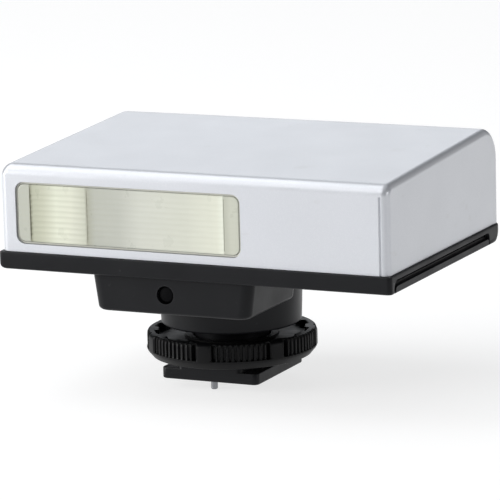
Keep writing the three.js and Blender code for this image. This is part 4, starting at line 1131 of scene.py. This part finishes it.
def make_panel():
    """A panel in the cover's rear opening, with wells for two knobs and holes for a button and two lamps."""
    low, _ = box_mm("rear_panel")
    face = opening("rear_panel_moulding", PANEL, COVER_HIGH[1] - 1.3, COVER_HIGH[1] - 0.2, -0.12)
    flange = opening("flange", PANEL, low[1], COVER_HIGH[1] - COVER_WALL - 0.1, 0.6)
    combine(face, flange, "UNION")
    for node, travel in (("power_switch_knob", 3.0), ("aperture_switch_knob", 6.0)):
        (x0, _, z0), (x1, _, z1) = box_mm(node)
        x1 += travel
        slot = rounded_rectangle(x0 - 0.3, x1 + 0.3, z0 - 0.3, z1 + 0.3, 0.35, 4)
        well = rounded_rectangle(x0 - 0.9, x1 + 0.9, z0 - 0.8, z1 + 0.8, 0.8, 5)
        cut(face,
            prism("slot_cutter", slot, 20, 30, "Y"),
            prism("well_cutter", well, COVER_HIGH[1] - 0.45, 30, "Y"))
    for node, grow in (("test_button", -0.4), ("ready_lamp", 0.1), ("check_lamp", 0.1)):
        cut(face, rod("hole_cutter", radius_mm(node) + grow, 20, 30, 40, "Y", middle_mm(node, "Y")))
    ease(face, 0.1, 3, 45)
    install(face, "rear_panel")


def make_knob(node, body):
    """A slide knob with raised ridges across its face."""
    low, high = box_mm(node)
    base, face = high[1] - 0.55, high[1]
    outline = [(low[0], low[1]), (high[0], low[1]), (high[0], base)]
    pitch = (high[0] - low[0]) / KNOB_RIDGES
    for k in range(KNOB_RIDGES):
        right = high[0] - k * pitch
        for share, y in ((0.15, base), (0.3, face), (0.7, face), (0.85, base)):
            outline.append((right - pitch * share, y))
    outline.append((low[0], base))
    knob = prism(f"{node}_cap", outline, low[2], high[2])
    ease(knob, 0.08, 2, 25)
    install(knob, node, body)


def make_test_button():
    """A flanged button with a dished face."""
    node = "test_button"
    low, high = box_mm(node)
    base, face, radius = low[1], high[1], radius_mm(node)
    shaft = radius - 0.6
    profile = softened(
        [(0, base), (radius, base), (radius, base + 0.25), (shaft, base + 0.25), (shaft, face - 0.1),
         (shaft - 0.5, face), (shaft * 0.4, face - 0.22), (0, face - 0.26)],
        [0, 0, 0, 0, 0.25, 0.2, 0.3, 0], 4)
    install(lathe("test_button_cap", profile, 56, "Y", middle_mm(node, "Y")), node, "test_key")


def make_lamp(node):
    """A light pipe with a domed end."""
    low, high = box_mm(node)
    radius = radius_mm(node)
    profile = [(0, low[1]), (radius, low[1])]
    for i in range(9):
        angle = math.radians(90 * i / 8)
        profile.append((radius * math.cos(angle), high[1] - 0.35 + 0.35 * math.sin(angle)))
    profile[-1] = (0, high[1])
    install(lathe(f"{node}_pipe", profile, 40, "Y", middle_mm(node, "Y")), node)


# ------ cells


def make_cell(node, flipped):
    """A cell with rolled jacket ends, an insulating ring and a raised positive cap."""
    low, high = box_mm(node)
    front, rear, radius = low[1], high[1], radius_mm(node)
    profile = softened(
        [(0, front), (3.4, front), (3.6, front + 0.35), (4.6, front + 0.35), (4.8, front + 0.1),
         (radius, front + 0.25), (radius, rear - 1.2), (4.7, rear - 0.95), (4.5, rear - 1.15),
         (2.4, rear - 1.15), (2.2, rear - 0.9), (1.9, rear - 0.8), (1.9, rear), (0, rear)],
        [0, 0.2, 0.1, 0.1, 0.15, 0.3, 0.3, 0.15, 0.1, 0.1, 0.1, 0.1, 0.3, 0], 4)
    if flipped:
        profile = [(r, front + rear - y) for r, y in reversed(profile)]
    install(lathe(f"{node}_body", profile, 64, "Y", middle_mm(node, "Y")), node)


# ------ pieces that keep their CAD shape


def dress_nodes():
    """Inner pieces keep their CAD shape, with softened edges and their slot's material."""
    replaced = {name for thing in bpy.data.objects for name in thing.get("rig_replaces", [])}
    for node, thing in frame["nodes"].items():
        if node in replaced:
            continue
        thing.data.materials.clear()
        thing.data.materials.append(MATERIALS[SLOT_OF[node]])
        thinnest = min(b - a for a, b in zip(*box_mm(node)))
        bevel(thing, "soft_edges", min(0.12, thinnest * 0.08), 2, 40)


# ------ assembly

make_camera()
make_light()
MATERIALS = make_materials()
make_cover()
make_tray()
make_door()
make_housing()
make_sensor()
make_foot()
make_ring()
make_pin()
make_contact("centre_contact", "centre_contact_pin", 1.2)
make_contact("data_contact_left", "left_data_pin", 0.5)
make_contact("data_contact_right", "right_data_pin", 0.5)
for number in range(1, 5):
    make_screw(f"foot_screw_{number}", 1.45, 0.9, 0.12)
    make_screw(f"case_screw_{number}", 1.55, 0.5, 0.1)
make_lens()
make_gasket()
make_reflector()
make_panel()
make_knob("power_switch_knob", "power_knob")
make_knob("aperture_switch_knob", "aperture_knob")
make_test_button()
make_lamp("ready_lamp")
make_lamp("check_lamp")
make_cell("battery_cell_left", False)
make_cell("battery_cell_right", True)
dress_nodes()
make_floor(CAD_BOUNDS[0][2] - 0.00002)
